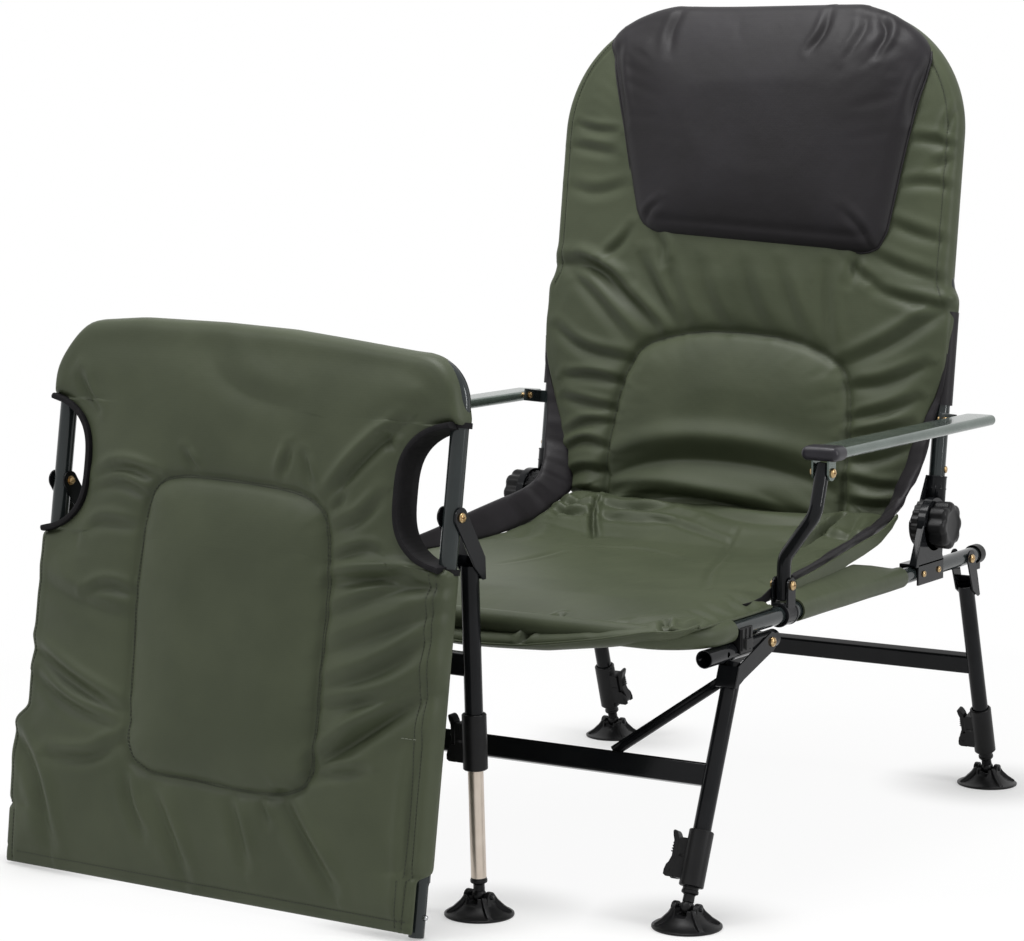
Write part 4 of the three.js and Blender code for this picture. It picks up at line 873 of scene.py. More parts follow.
spots = [((sign * (HALF + 9.2), BACK_Y + 2.5, 68), (sign, 0.25, 0), 0.8) for _, sign in SIDES]
hardware("back_tube_screws", spots, "bolt", AT_BACK, "backrest")
print("back tube bent over", len(BACK_LINE), "points")

# %% [markdown]
# ## Armrests
# A flattened tube with a cap pushed on its front end. Below it a fork takes the support arm, and
# a pin near its rear end turns in the back frame's lug.

# %% Armrests
ARM_DROP = 2.5
ARM_FRONT, ARM_REAR = -390.5, 50.0
FORK_Y, FORK_Z = -383.5, -24.0  # the bolt of the armrest's fork


def oval(y, width, height):
    """A flattened ring square to Y, with nearly flat top and bottom."""
    ring = []
    for i in range(64):
        a = 2 * math.pi * i / 64
        side = width / 2 - height / 2
        x = math.cos(a) * height / 2 + (side if math.cos(a) >= 0 else -side) * min(1, 4 * abs(math.cos(a)))
        ring.append((x, y, math.sin(a) * height / 2 - ARM_DROP))
    return ring


def oval_body(stations):
    return loft([oval(y, w, h) for y, w, h in stations])


def armrest():
    body = oval_body([
        (ARM_FRONT, 41, 12), (ARM_FRONT + 0.6, 42, 13), (ARM_REAR - 2.5, 42, 13),
        (ARM_REAR - 0.8, 40.6, 11.6), (ARM_REAR, 38, 9),
    ])
    outline = [*arc(FORK_Y, FORK_Z, 9, math.pi, 2 * math.pi, 20), (FORK_Y + 9, -4), (FORK_Y - 9, -4)]
    ears = [plate(outline, x, x + 2.5, width=0.4) for x in (FORK, -FORK - 2.5)]
    return merged(body, *ears), along_x(-31, -18, 0, 0, 3)


for side, sign in SIDES:
    at_armrest = SHIFT @ Matrix.Translation((sign * ARMREST_X, ARMREST.y, ARMREST.z))
    body, pin = armrest()
    piece(f"armrest_{side}_tube", flipped(body, sign), at_armrest, f"armrest_{side}", arm_paint,
          f"armrest_{side}")
    piece(f"armrest_{side}_pin", flipped(pin, sign), at_armrest, f"armrest_{side}", zinc)
    cap = oval_body([
        (-396.4, 32, 5), (-396.1, 39, 9.5), (-395, 43, 13.2), (-392.6, 45.6, 16), (-388, 46.4, 17.2),
        (-374, 46.4, 17.2), (-370.8, 45.8, 16.6), (-370.5, 44.8, 15.6),
    ])
    slot_cut = box((-11.3, -393, -27), (11.3, -360, -4), 0)
    piece(f"armrest_cap_{side}_body", flipped(cap, sign), at_armrest, f"armrest_{side}", cap_plastic,
          f"armrest_cap_{side}", holes=flipped(slot_cut, sign))
    spots = [((sign * 10.9, FORK_Y, FORK_Z), (sign, 0, 0), 1.0)]
    hardware(f"armrest_bolt_{side}", spots, "bolt", at_armrest, f"armrest_{side}")
    nuts = [((-sign * 10.9, FORK_Y, FORK_Z), (-sign, 0, 0), 1.0), ((-sign * 30.2, 0, 0), (-sign, 0, 0), 0.8)]
    hardware(f"armrest_nuts_{side}", nuts, "washer", at_armrest, f"armrest_{side}")
print("back frame and armrests done")

# %% [markdown]
# ## Leg sets
# Two outer tubes with a crossbar, hung on bolts by pressed brackets. A moulded cam lock clamps
# each inner leg, whose ball sits in a round mud foot. One function draws all three sets.


# %% Leg frames
def bracket_outline(leg):
    """The bracket's cheek, a lobe round the bolt over a slanted plate, and where its web lies."""
    angle = math.atan2(-leg["top"], leg["offset"])
    far = leg["offset"] + leg["web"] * 12.4
    near = leg["offset"] - leg["web"] * 6
    low, high = -leg["top"] - leg["reach"], -leg["top"] + leg["lift"]
    edge = [(far, high), (far, low), (far - leg["web"] * 5, low), (near, low + 14)]
    lobe = arc(0, 0, 11, angle + math.pi / 2, angle + 1.5 * math.pi, 24)
    return lobe + (edge if leg["web"] < 0 else edge[::-1]), low, high, far


def brace(foot, head):
    """A channel-shaped strip between two points in a plane square to Y, its ends crimped flat."""
    foot, head = Vector(foot), Vector(head)
    along = (head - foot).normalized()
    across = Vector((-along.z, 0, along.x))
    section = [
        (-6, -1.6), (-5, -2.5), (-3.4, -2.5), (-2.7, -1.3), (-0.9, -1.3), (-0.5, -3.4), (0.5, -3.4),
        (0.9, -1.3), (2.7, -1.3), (3.4, -2.5), (5, -2.5), (6, -1.6), (6, 1.6), (5, 2.5), (-5, 2.5), (-6, 1.6),
    ]
    length = (head - foot).length
    rings = []
    for distance, flat in ((0, 0.45), (7, 0.5), (14, 1), (length - 14, 1), (length - 7, 0.5), (length, 0.45)):
        centre, wide = foot + along * distance, 1.12 - 0.12 * flat
        rings.append([tuple(centre + across * a * wide + Vector((0, b * flat, 0))) for a, b in section])
    return loft(rings)


def rounded_box(width, height, corner, steps=5):
    """The outline of a box tube with round corners."""
    points = []
    for cx, cy, start in ((1, 1, 0), (-1, 1, 0.5), (-1, -1, 1), (1, -1, 1.5)):
        for i in range(steps + 1):
            a = math.pi * (start + 0.5 * i / steps)
            points.append((cx * (width / 2 - corner) + corner * math.cos(a),
                           cy * (height / 2 - corner) + corner * math.sin(a)))
    return points


def leg_frame(leg):
    """Two tubes, the crossbar between them, a folded bracket on each and the front legs' braces."""
    offset, top, low_tube = leg["offset"], leg["top"], -(leg["length"] - leg["lock"] - 16)
    outline, low, high, far = bracket_outline(leg)
    section = rounded_box(15, 25, 3)
    parts = [loft([[(x, offset + a, -leg["bar"] + b) for a, b in section] for x in (-274, 274)])]
    for _, sign in SIDES:
        x = sign * HALF
        parts.append(tube([(x, offset, low_tube), (x, offset, -top)], TUBE))
        parts += [plate(outline, x + a, x + a + 2, width=0.4) for a in (-12.4, 10.4)]
        wall = sorted((far, far - leg["web"] * 2.4))
        parts.append(box((x - 12.4, wall[0], low), (x + 12.4, wall[1], high), 0.8))
        if leg is LEGS["front"]:
            foot = (sign * 154, offset, -leg["bar"] + 12)
            head = (sign * (HALF - 12), offset, -top - 22)
            parts.append(brace(foot, head))
    return merged(*parts)


for name, leg in LEGS.items():
    piece(f"{name}_leg_tubes", leg_frame(leg), leg["at"], f"{name}_legs", leg_paint, f"{name}_leg_frame")
    spots, nuts = [], []
    for _, sign in SIDES:
        spots.append(((sign * (HALF + 12.4), 0, 0), (sign, 0, 0), 1.0))
        nuts.append(((sign * (HALF - 12.4), 0, 0), (-sign, 0, 0), 0.9))
    hardware(f"{name}_leg_bolts", spots, "bolt", leg["at"], f"{name}_legs")
    hardware(f"{name}_leg_nuts", nuts, "washer", leg["at"], f"{name}_legs")
print("leg frames done")

# %% Locks, levers, inner legs and feet
LOCK_R = 13.53
HUB_X = -LOCK_R - 13.5


def lock_body(up):
    """The clamp's sleeve, its case with two cheeks for the lever, and the bore for both tubes."""
    sleeve = lathe([
        (0, up), (LOCK_R - 1.2, up), (LOCK_R, up + 1), (LOCK_R, up + 60.6), (LOCK_R - 0.9, up + 61.7),
        (LOCK_R - 2, up + 62), (0, up + 62),
    ], 56)
    case_x = -LOCK_R - 8
    outline = [(case_x, 9), (case_x, 48), (case_x + 2.5, 51), (0, 51), (0, 7), (case_x + 2, 7)]
    case = rolled(plate([(a, up + b) for a, b in outline], -8.5, 8.5, "Y", 0), 1.1)
    rib = box((case_x + 2, -9.1, up + 30), (-4, 9.1, up + 33), 0.5)
    parts = [sleeve, case, rib]
    for sign in (1, -1):
        outline = [(-11, 9), (-8, 7), (1, 7), (1, 26), (-4, 26), (-9.4, 20), (-11, 14)]
        cheek = [(case_x + a, up + b) for a, b in outline]
        parts.append(plate(cheek, sign * 6, sign * 8.5, "Y"))
        parts.append(rod([(HUB_X, sign * 5, up + 14), (HUB_X, sign * 9.1, up + 14)], 2.1, 16))
    return merged(*parts), merged(along_z(up - 5, up + 70, 8.9), along_z(up + 15.7, up + 70, RING))


def lever_body():
    """The cam lever: hub, blade and a flared tip, with a thumb recess."""
    outline = [
        (5, -1), (5, 34), (3.6, 38.5), (1.6, 42), (-0.4, 44), (-3.2, 44.4), (-4.4, 42.6), (-3.2, 38),
        (-1.2, 33), (-0.6, 16), (-4, 7), (-5, 0), (-4, -3.4), (-1, -5), (2, -4.6), (4.2, -3),
    ]
    ridges = [along_y(30 - 3 * i, -4.2, 4.2, 0.8, 10, x=-1.4 - i * 0.25) for i in range(4)]
    return merged(plate(outline, -5.6, 5.6, "Y", 0.9), *ridges), along_y(0, -20, 20, 2.5, 20, x=0)


def ankle(top):
    """The plug in the inner leg's end: collar, neck and ball."""
    profile = [(0, -8)]
    for i in range(1, 12):
        a = -math.pi / 2 + math.pi * 0.78 * i / 11
        profile.append((8 * math.cos(a), 8 * math.sin(a)))
    profile += [(6.4, 6), (6.2, 12.6), (7, 14), (8.9, 14.8), (9.4, 15.6), (9.4, 18), (8.7, 18.6)]
    return lathe([*profile, (8.7, top), (0, top)], 40)


def cross_pin():
    """The pin through the ball, with a domed head at each end."""
    head = lathe([(0, 0), (3.1, 0), (2.9, 0.9), (1.8, 1.7), (0, 1.9)], 20)
    heads = [aimed(head, (a * 16.6, 0, 0), (a, 0, 0)) for a in (1, -1)]
    return merged(rod([(-17, 0, 0), (17, 0, 0)], 1.6, 16, 0.4), *heads)


def mud_foot():
    """A round pad: thin rim, low slope, four ribs and a hub with two ears for the pin."""
    profile = [
        (0, 0), (36.5, 0), (38, 0.5), (38.5, 1.4), (38.3, 2.6), (37.2, 3.4), (33, 4.2), (28, 6), (23, 9),
        (19, 12.6), (16.6, 15.6), (15.8, 18.6), (15.4, 20.6), (14.4, 21.2), (13.4, 20.4), (12.4, 16.6),
        (10, 14), (0, 13.4),
    ]
    pad = lathe([(r, z - BALL_UP) for r, z in profile], 72)
    section = [
        (11, 1), (36.4, 2.2), (35.6, 5.4), (28, 10.4), (20.4, 17.4), (17, 22.4), (14.2, 22.8), (11, 18),
    ]
    rib = plate([(a, b - BALL_UP) for a, b in section], -2.6, 2.6, "Y", 0.9)
    turns = [math.pi * (0.25 + i * 0.5) + (0.16 if i % 2 else -0.16) for i in range(4)]
    turned = [math.pi * (1 - k / 12) for k in range(13)]
    lobe = [(7.4 * math.cos(angle), -1.4 + 7 * math.sin(angle)) for angle in turned]
    ear = [(-7.4, -12), *lobe, (7.4, -12)]
    parts = [moved(rib, turn_z(angle)) for angle in turns]
    parts += [plate(ear, sign * 10.6, sign * 16.4, width=0.9) for sign in (1, -1)]
    gap = box((-6.8, -40, 15.4 - BALL_UP), (6.8, 40, 40), 0)
    return merged(pad, *parts), merged(gap, along_x(-30, 30, 0, 0, 2.2, 16))


for name, leg in LEGS.items():
    for side, sign in SIDES:
        at_ball = leg["at"] @ Matrix.Translation((sign * HALF, leg["offset"], -leg["length"]))
        shape, cut = lock_body(leg["lock"])
        piece(f"{name}_lock_{side}_case", flipped(shape, sign), at_ball, f"{name}_legs", plastic,
              f"{name}_leg_lock_{side}", holes=flipped(cut, sign))
        at_lever = at_ball @ Matrix.Translation((sign * HUB_X, 0, leg["lock"] + 14))
        shape, cut = lever_body()
        piece(f"{name}_lever_{side}_blade", flipped(shape, sign), at_lever, f"{name}_lever_{side}",
              plastic, f"{name}_lock_lever_{side}", holes=flipped(cut, sign))
        body = f"{name}_inner_leg_{side}"
        top = leg["lock"] + 16 + leg["overlap"]
        piece(f"{name}_inner_tube_{side}", tube([(0, 0, 19), (0, 0, top)], 8.5, 1.1, 40), at_ball, body,
              alloy, body)
        piece(f"{name}_ankle_{side}", ankle(20.4 if name == "footrest" else leg["lock"] + 3), at_ball,
              body, plastic)
        piece(f"{name}_cross_pin_{side}", cross_pin(), at_ball, body, leg_paint, slotted=False)
        at_foot = at_ball @ turn_x(-leg["tilt"])
        shape, cut = mud_foot()
        piece(f"{name}_pad_{side}", shape, at_foot, f"{name}_foot_{side}", plastic, f"{name}_foot_{side}",
              holes=cut)
print("locks, inner legs and feet done")

# %% [markdown]
# ## Footrest frame
# A bent tube whose two ends are drawn narrower, so that they slide into the sockets under the
# seat. A sprung button near each end snaps into the socket's side hole.

# %% Footrest frame and buttons
LIFT = TUBE * math.sin(FOOTREST_LEAN)
line = rounded([(HALF, 0, 60), (HALF, 0, FOOTREST_TOP), (-HALF, 0, FOOTREST_TOP), (-HALF, 0, 60)], 46)
parts = [tube(line, TUBE, 2.0)]
for _, sign in SIDES:
    x = sign * HALF
    profile = [Vector((x, 0, z)) for z in (LIFT, 56, 61, 66)]
    outside = ringed(profile, [8.5, 8.5, 9.6, 9.9], 36)
    inside = ringed(profile, [7.3] * 4, 36)
    parts.append(loft(outside + inside[::-1], loop=True))
holes = merged(*[along_x(sign * (HALF + 2), sign * (HALF + 20), 0, LIFT + 22, 3.3) for _, sign in SIDES])
piece("footrest_tube", merged(*parts), AT_PANEL, "footrest", frame_paint, "footrest_frame", holes=holes)
for side, sign in SIDES:
    button = lathe([(0, 0), (4, 0), (4, 1.6), (2.8, 1.7), (2.8, 8.6), (2.3, 9.7), (1.2, 10.3), (0, 10.5)], 24)
    shape = aimed(button, (sign * (HALF + 2.2), 0, LIFT + 22), (sign, 0, 0))
    piece(f"button_{side}_pin", shape, AT_PANEL, f"button_{side}", steel, f"spring_button_{side}")
print("footrest frame done")

# %% [markdown]
# ## Soft pads
# Each pad is two skins of cloth that share an outline, stuffed and sewn together. The skins are
# drawn on a fine grid, blown up by a short cloth simulation with their edges held, smoothed by
# one subdivision, and only then drawn in by seams and creases, which are finer than the grid.


# %% Measuring on a pad
def smooth(low, high, value):
    """An even passage from 0 at low to 1 at high."""
    t = np.clip((value - low) / (high - low), 0, 1)
    return t * t * (3 - 2 * t)


def soften(line, times=2):
    """Cuts the corners of a line, so that a crease is drawn as a curve."""
    line = [np.array(p, float) for p in line]
    for _ in range(times):
        cut = [line[0]]
        for a, b in zip(line, line[1:]):
            cut += [a * 0.75 + b * 0.25, a * 0.25 + b * 0.75]
        line = cut + [line[-1]]
    return np.array(line)


def resampled(line, step=6.0):
    """Points at an even spacing on a line."""
    line = np.array(line, float)
    lengths = np.concatenate([[0], np.cumsum(np.hypot(*np.diff(line, axis=0).T))])
    places = np.arange(0, lengths[-1], step)
    return np.stack([np.interp(places, lengths, line[:, i]) for i in (0, 1)], -1)


def near(line, a, b):
    """How far points are from a line, at which share of its length, and on which side of it."""
    line = np.array(line, float)
    steps = np.diff(line, axis=0)
    lengths = np.maximum(np.hypot(steps[:, 0], steps[:, 1]), 1e-6)
    done = np.concatenate([[0], np.cumsum(lengths)])
    best, place, side = np.full(len(a), 1e9), np.zeros(len(a)), np.ones(len(a))
    for i, (start, step, length) in enumerate(zip(line, steps, lengths)):
        da, db = a - start[0], b - start[1]
        t = np.clip((da * step[0] + db * step[1]) / length**2, 0, 1)
        gap = np.hypot(da - t * step[0], db - t * step[1])
        closer = gap < best
        best[closer], place[closer] = gap[closer], done[i] + t[closer] * length
        side[closer] = np.sign(step[0] * db - step[1] * da)[closer]
    return best, place / done[-1], side


def inside(outline, a, b):
    """Which points lie within an outline."""
    hit = np.zeros(len(a), bool)
    ends = list(outline)
    for (a0, b0), (a1, b1) in zip(ends, ends[1:] + ends[:1]):
        if b0 != b1:
            hit ^= ((b0 > b) != (b1 > b)) & (a < (a1 - a0) * (b - b0) / (b1 - b0) + a0)
    return hit


def stroke_line(stroke):
    """A stroke is a depth, a width and the coordinates of a line, two by two."""
    return np.reshape(stroke[2:], (-1, 2))


def creases(strokes, a, b):
    """How deep strokes draw the cloth in. The cloth stands up beside each, more on the upper
    side, where it is pulled over."""
    total = np.zeros(len(a))
    for stroke in strokes:
        line, (depth, width) = stroke_line(stroke), stroke[:2]
        gap, place, side = near(soften(line), a, b)
        taper = np.sin(np.pi * (0.06 + 0.88 * place)) ** 0.7
        upper = side * np.sign(line[-1][0] - line[0][0] + 1e-6)
        valley = np.exp(-((gap / width) ** 1.4))
        ridge = (0.42 + 0.24 * upper) * np.exp(-(((gap - 2.0 * width) / (1.05 * width)) ** 2))
        total += 1.3 * depth * taper * (valley - ridge)
    return total


def border(shape):
    """True for the outer points of a grid."""
    outer = np.ones(shape, bool)
    outer[1:-1, 1:-1] = False
    return outer


def spaced(low, high, step, ease=0.0):
    """Even places from low to high, closer together towards both ends."""
    count = max(4, round((high - low) / step))
    share = np.linspace(-1, 1, count + 1)
    share = (1 - ease) * share + ease * np.sin(share * math.pi / 2)
    return low + (high - low) * (share + 1) / 2


print("measures on a pad ready")


# %% Making a pad
def two_skins(front, rear):
    """A closed mesh of two skins, each rows x columns x 3, with one outline."""
    rows, columns = front.shape[:2]
    ahead = np.arange(rows * columns).reshape(rows, columns)
    behind = ahead.copy()
    inner = rear[1:-1, 1:-1].reshape(-1, 3)
    behind[1:-1, 1:-1] = rows * columns + np.arange(len(inner)).reshape(rows - 2, columns - 2)
    faces = []
    for index, turn in ((ahead, 1), (behind, -1)):
        quads = np.stack([index[:-1, :-1], index[:-1, 1:], index[1:, 1:], index[1:, :-1]], -1)
        faces.append(quads.reshape(-1, 4)[:, ::turn])
    verts = np.concatenate([front.reshape(-1, 3), inner])
    skin = np.zeros(len(verts))
    skin[: rows * columns] = 1
    skin[np.concatenate([ahead[0], ahead[-1], ahead[:, 0], ahead[:, -1]])] = 0.5
    return verts, np.concatenate(faces), skin


def points_of(made):
    flat = np.empty(len(made.data.vertices) * 3)
    made.data.vertices.foreach_get("co", flat)
    return flat.reshape(-1, 3)


def set_points(made, points):
    made.data.vertices.foreach_set("co", points.ravel())
    made.data.update()


def to_frame(points, matrix):
    """From millimetres in a local frame to metres in the row frame."""
    m = np.array(Matrix.Scale(0.001, 4) @ matrix)
    return points @ m[:3, :3].T + m[:3, 3]


def to_local(points, matrix):
    m = np.array((Matrix.Scale(0.001, 4) @ matrix).inverted())
    return points @ m[:3, :3].T + m[:3, 3]


def pad_object(name, front, rear, matrix, material):
    verts, faces, skin = two_skins(front, rear)
    mesh = bpy.data.meshes.new(name)
    mesh.from_pydata(to_frame(verts, matrix).tolist(), [], faces.tolist())
    mesh.attributes.new("skin", "FLOAT", "POINT").data.foreach_set("value", skin)
    mesh.materials.append(material)
    made = bpy.data.objects.new(name, mesh)
    scene.collection.objects.link(made)
    turn_out(made)
    return made


def turn_out(made):
    """All faces outward and smooth."""
    bm = bmesh.new()
    bm.from_mesh(made.data)
    bmesh.ops.recalc_face_normals(bm, faces=bm.faces)
    for face in bm.faces:
        face.smooth = True
    bm.to_mesh(made.data)
    bm.free()


def sewn(made, matrix):
    """A weight for each point, 1 where the skins meet or at the rear, and the points' places."""
    return np.clip(1 - (skin_of(made) - 0.5) * 2, 0, 1), to_local(points_of(made), matrix)


FRAMES = 20


def inflate(made, held, most, pressure=4.0):
    """Blows the pad up as stuffed cloth. Held is a weight from 0, free, to 1, sewn down, for each
    point, and no point ends further from its start than most millimetres."""
    start = points_of(made)
    group = made.vertex_groups.new(name="held")
    for level in np.unique(np.round(held, 1)):
        if level > 0:
            group.add(np.nonzero(np.round(held, 1) == level)[0].tolist(), float(level), "REPLACE")
    step = made.modifiers.new("cloth", "CLOTH")
    step.settings.quality = 4
    step.settings.mass = 0.25
    step.settings.tension_stiffness = step.settings.compression_stiffness = 18
    step.settings.bending_stiffness = 0.6
    step.settings.use_pressure = True
    step.settings.uniform_pressure_force = pressure
    step.settings.vertex_group_mass = "held"
    step.settings.effector_weights.gravity = 0
    step.collision_settings.use_collision = False
    step.point_cache.frame_start, step.point_cache.frame_end = 1, FRAMES
    for number in range(1, FRAMES + 1):
        scene.frame_set(number)
    settle(made)
    scene.frame_set(1)
    made.vertex_groups.clear()
    now = points_of(made)
    move = (now - start) * 1000
    length = np.linalg.norm(move, axis=1, keepdims=True)
    move *= np.minimum(1, most / np.maximum(length, 1e-6)) * (1 - np.round(held, 1))[:, None]
    set_points(made, start + move / 1000)
    print(made.name, "blown up by at most", round(float(np.linalg.norm(move, axis=1).max()), 1), "mm")


def subdivide(made):
    step = made.modifiers.new("finer", "SUBSURF")
    step.levels = step.render_levels = 1
    settle(made)


def skin_of(made):
    values = np.empty(len(made.data.vertices))
    made.data.attributes["skin"].data.foreach_get("value", values)
    return values


def press(made, matrix, depth_at):
    """Moves the front skin in by depth_at(local points), in millimetres, square to the cloth."""
    points = points_of(made)
    normals = np.empty(len(points) * 3)
    made.data.vertex_normals.foreach_get("vector", normals)
    depth = depth_at(to_local(points, matrix)) * smooth(0.5, 0.95, skin_of(made))
    set_points(made, points - normals.reshape(-1, 3) * depth[:, None] / 1000)


def finish_pad(made, body, node):
    made.data.attributes.remove(made.data.attributes["skin"])
    turn_out(made)
    hand_over(made, body, [node])
    print(made.name, "triangles", 2 * len(made.data.polygons))


print("pad helpers ready")

# %% [markdown]
# ## Back cover
# One long pad in front of the back frame, sewn round its tube. An arched seam marks the lumbar
# pad, and the stuffing pulls the cloth into folds that run from the arch to the sides and up to
# the pillow. Below it the cloth folds over onto the seat.

# %% The outline and the depth of the back cover
SLEEVE = 12.8
FOOT_Z = -24.0


def back_half(z):
    """Half the width of the olive cloth: full where it wraps the tubes, less beside the gussets."""
    low = np.interp(z, [-24, -10, 4, 16, 30, 48, 72, 97, 133, 147, 161, 177, 195, 230, 262],
                    [216, 224, 232, 237, 241, 245, 251, 257, 270, 275, 280, 285, 289, 291, 293.8])
    step = smooth(276, 298, z)
    wide = HALF + SLEEVE - step * 9
    into = np.clip((z - (BACK_TOP - BEND)) / (BEND + SLEEVE), 0, 1)
    corner = TOP_HALF - BEND
    full = corner + (wide - corner) * np.sqrt(1 - into**2)
    return np.where(z < 262, low, full)


z = np.minimum(np.arange(FOOT_Z, 640), BACK_TOP + SLEEVE)
edge_line = np.stack([back_half(z), z], -1)
BACK_OUTLINE = [(-x, z) for x, z in edge_line] + [(x, z) for x, z in edge_line[::-1]]
ARCH = [
    (-175, -64), (-174, -15), (-176, 38), (-172, 83), (-166, 121), (-158, 155), (-149, 176), (-136, 196),
    (-122, 206), (-97, 214), (-64, 221), (-31, 224), (11, 224), (60, 221), (97, 214), (130, 202), (153, 188),
    (163, 174), (170, 139), (171, 103), (170, 60), (171, 17), (170, -64),
]


def edge_gap(x, z):
    """Distance to the cover's side and top edges."""
    return near(np.array(BACK_OUTLINE)[::4], x, z)[0]


def back_front(x, z, edge):
    """How far forward the front skin lies: the y of a point."""
    wrap = smooth(225, 262, z)
    radius, thick, middle = 8 + 4.8 * wrap, 6 + 13 * wrap, 8.8 + 13 * wrap
    shell = thick * np.sqrt(1 - (1 - np.clip(edge / radius, 0, 1)) ** 2)
    crown = 15 * (1 - np.exp(-np.clip(edge - radius, 0, None) / 42))
    dip = 2.2 * wrap * np.exp(-(((edge - 30) / 9) ** 2))
    fold = smooth(4, -24, z)
    y = middle - shell - crown + dip
    lumbar = 7 * smooth(0, 26, np.where(inside(ARCH, x, z), near(ARCH, x, z)[0], 0))
    return y - lumbar * (1 - 0.5 * fold) + fold * 4


def back_rear(z, edge):
    """The y of a point of the rear skin: flat, and round the tube at the sides and the top."""
    wrap = smooth(225, 262, z)
    flat = 8.8 + 6 * np.sqrt(1 - (1 - np.clip(edge / 8, 0, 1)) ** 2)
    ring = BACK_Y + SLEEVE * np.sqrt(np.clip(1 - ((edge - SLEEVE) / SLEEVE) ** 2, 0, 1))
    blend = smooth(SLEEVE * 1.55, SLEEVE * 2.6, edge)
    return (1 - wrap) * flat + wrap * (ring * (1 - blend) + 14.8 * blend)


print("outline of the back cover", len(BACK_OUTLINE), "points")


# %% The folds of the back cover
LEFT_FOLDS = [
    (3, 5, -258, 489, -232, 482, -193, 478), (3.4, 6, -262, 460, -234, 457, -195, 450),
    (2.6, 7, -261, 406, -220, 397, -172, 408), (3, 6, -157, 352, -172, 331, -200, 312),
    (3, 6, -119, 346, -107, 329, -107, 311), (3.2, 7, -252, 317, -212, 301, -153, 279),
    (7.5, 8, -270, 306, -215, 304, -166, 268, -115, 226),
    (3.5, 8, -256, 299, -195, 248, -152, 208),
    (4, 7, -269, 219, -225, 190, -150, 180), (4.4, 6, -248, 155, -204, 157, -160, 150),
    (4, 6, -248, 126, -197, 118, -166, 114), (3.6, 6, -244, 79, -212, 96, -171, 98),
    (4.2, 6, -246, 56, -215, 73, -175, 64), (4, 6, -243, 22, -211, 36, -178, 32),
    (4, 5, -238, -4, -208, 8, -178, 2),
]
UPPER_FOLDS = [
    (4.2, 8, -140, 313, -114, 269, -81, 228), (2.6, 8, -96, 303, -84, 263, -64, 227),
    (2.4, 9, -50, 305, -38, 261, -14, 228), (2.2, 9, 12, 306, 24, 263, 43, 230),
    (2.6, 9, 62, 304, 77, 261, 96, 224), (3, 8, 125, 310, 130, 259, 137, 213),
    (3, 6, 156, 318, 169, 304, 198, 287), (4, 6, 197, 283, 242, 270, 300, 265),
]
RIGHT_FOLDS = [
    (2.4, 5, 278, 511, 268, 485, 276, 480), (3, 6, 221, 471, 255, 470, 280, 463),
    (2.2, 6, 255, 439, 281, 449), (2.8, 6, 218, 414, 251, 419, 281, 411),
    (3.2, 7, 202, 368, 237, 355, 276, 345), (3.2, 7, 184, 329, 218, 313, 276, 297),
    (3, 6, 171, 331, 165, 308, 163, 290), (4.6, 8, 163, 189, 220, 216, 270, 254, 292, 262),
    (4.4, 7, 171, 160, 216, 166, 266, 192), (4, 6, 172, 121, 222, 134, 258, 151),
    (3.6, 6, 170, 99, 205, 105, 250, 119), (4, 6, 171, 67, 208, 71, 250, 90),
    (4, 6, 173, 46, 211, 38, 242, 40), (4, 6, 173, 17, 213, 13, 236, 18),
]
LUMBAR_FOLDS = [
    (9, 15, -171, 27, -117, 49, -50, 60, 49, 58, 131, 43, 165, 24),
    (6, 9, -172, 4, -93, 13, -8, 6, 95, -10, 140, -15),
    (3.5, 6, -168, -14, -122, 0, -46, 8, 38, 0),
]
BACK_FOLDS = LEFT_FOLDS + UPPER_FOLDS + RIGHT_FOLDS + LUMBAR_FOLDS


def back_depth(p):
    """Folds, the arched seam with the hollow beside it, and the hem along the tube."""
    x, z = p[:, 0], p[:, 2]
    gap = near(ARCH, x, z)[0]
    seam = 6.5 * np.exp(-((gap / 4.6) ** 1.5)) + 2.0 * np.exp(-((gap / 16) ** 2))
    hem = 0.9 * np.exp(-(((edge_gap(x, z) - 15) / 1.6) ** 2)) * smooth(262, 290, z)
    return creases(BACK_FOLDS, x, z) + seam + hem


print("folds of the back cover", len(BACK_FOLDS))


# %% Make the back cover
GRID = 5.2  # between neighbouring points of the pad, in millimetres


def grid(rows, half, share):
    """Points on a pad: rows along its length, and shares of its half width across."""
    a = np.array([share * float(half(np.array(r))) for r in rows])
    return a, np.repeat(np.array(rows)[:, None], len(share), 1)


rows = spaced(FOOT_Z, BACK_TOP + SLEEVE, GRID, 0.5)
x, z = grid(rows, back_half, spaced(-1, 1, GRID / 280, 0.55))
outer = border(x.shape)
edge = edge_gap(x.ravel(), z.ravel())
edge[outer.ravel()] = 0
front_y = back_front(x.ravel(), z.ravel(), edge).reshape(x.shape)
rear_y = np.maximum(back_rear(z.ravel(), edge).reshape(x.shape), front_y + 5)
middle = (front_y + rear_y) / 2
front_y[0] = rear_y[0] = middle[0]
front_y[outer] = rear_y[outer] = np.where(z[outer] > FOOT_Z, front_y[outer], middle[outer])
front, rear = np.stack([x, front_y, z], -1), np.stack([x, rear_y, z], -1)
back_cover = pad_object("back_cover_pad", front, rear, AT_BACK, olive)
held, p = sewn(back_cover, AT_BACK)
held = np.maximum(held, 1 - smooth(14, 30, edge_gap(p[:, 0], p[:, 2])))
held = np.maximum(held, 1 - smooth(2, 14, near(ARCH, p[:, 0], p[:, 2])[0]))
inflate(back_cover, held, 6)
subdivide(back_cover)
press(back_cover, AT_BACK, back_depth)
finish_pad(back_cover, None, "back_cover")


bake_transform(back_cover)

# %% [markdown]
# ## Head pillow
# A puffy charcoal cushion sewn to the front of the back cover, with straight sides that open
# upward and cut-off top corners. Its back skin lies on the cover, so it has the cover's own curve.

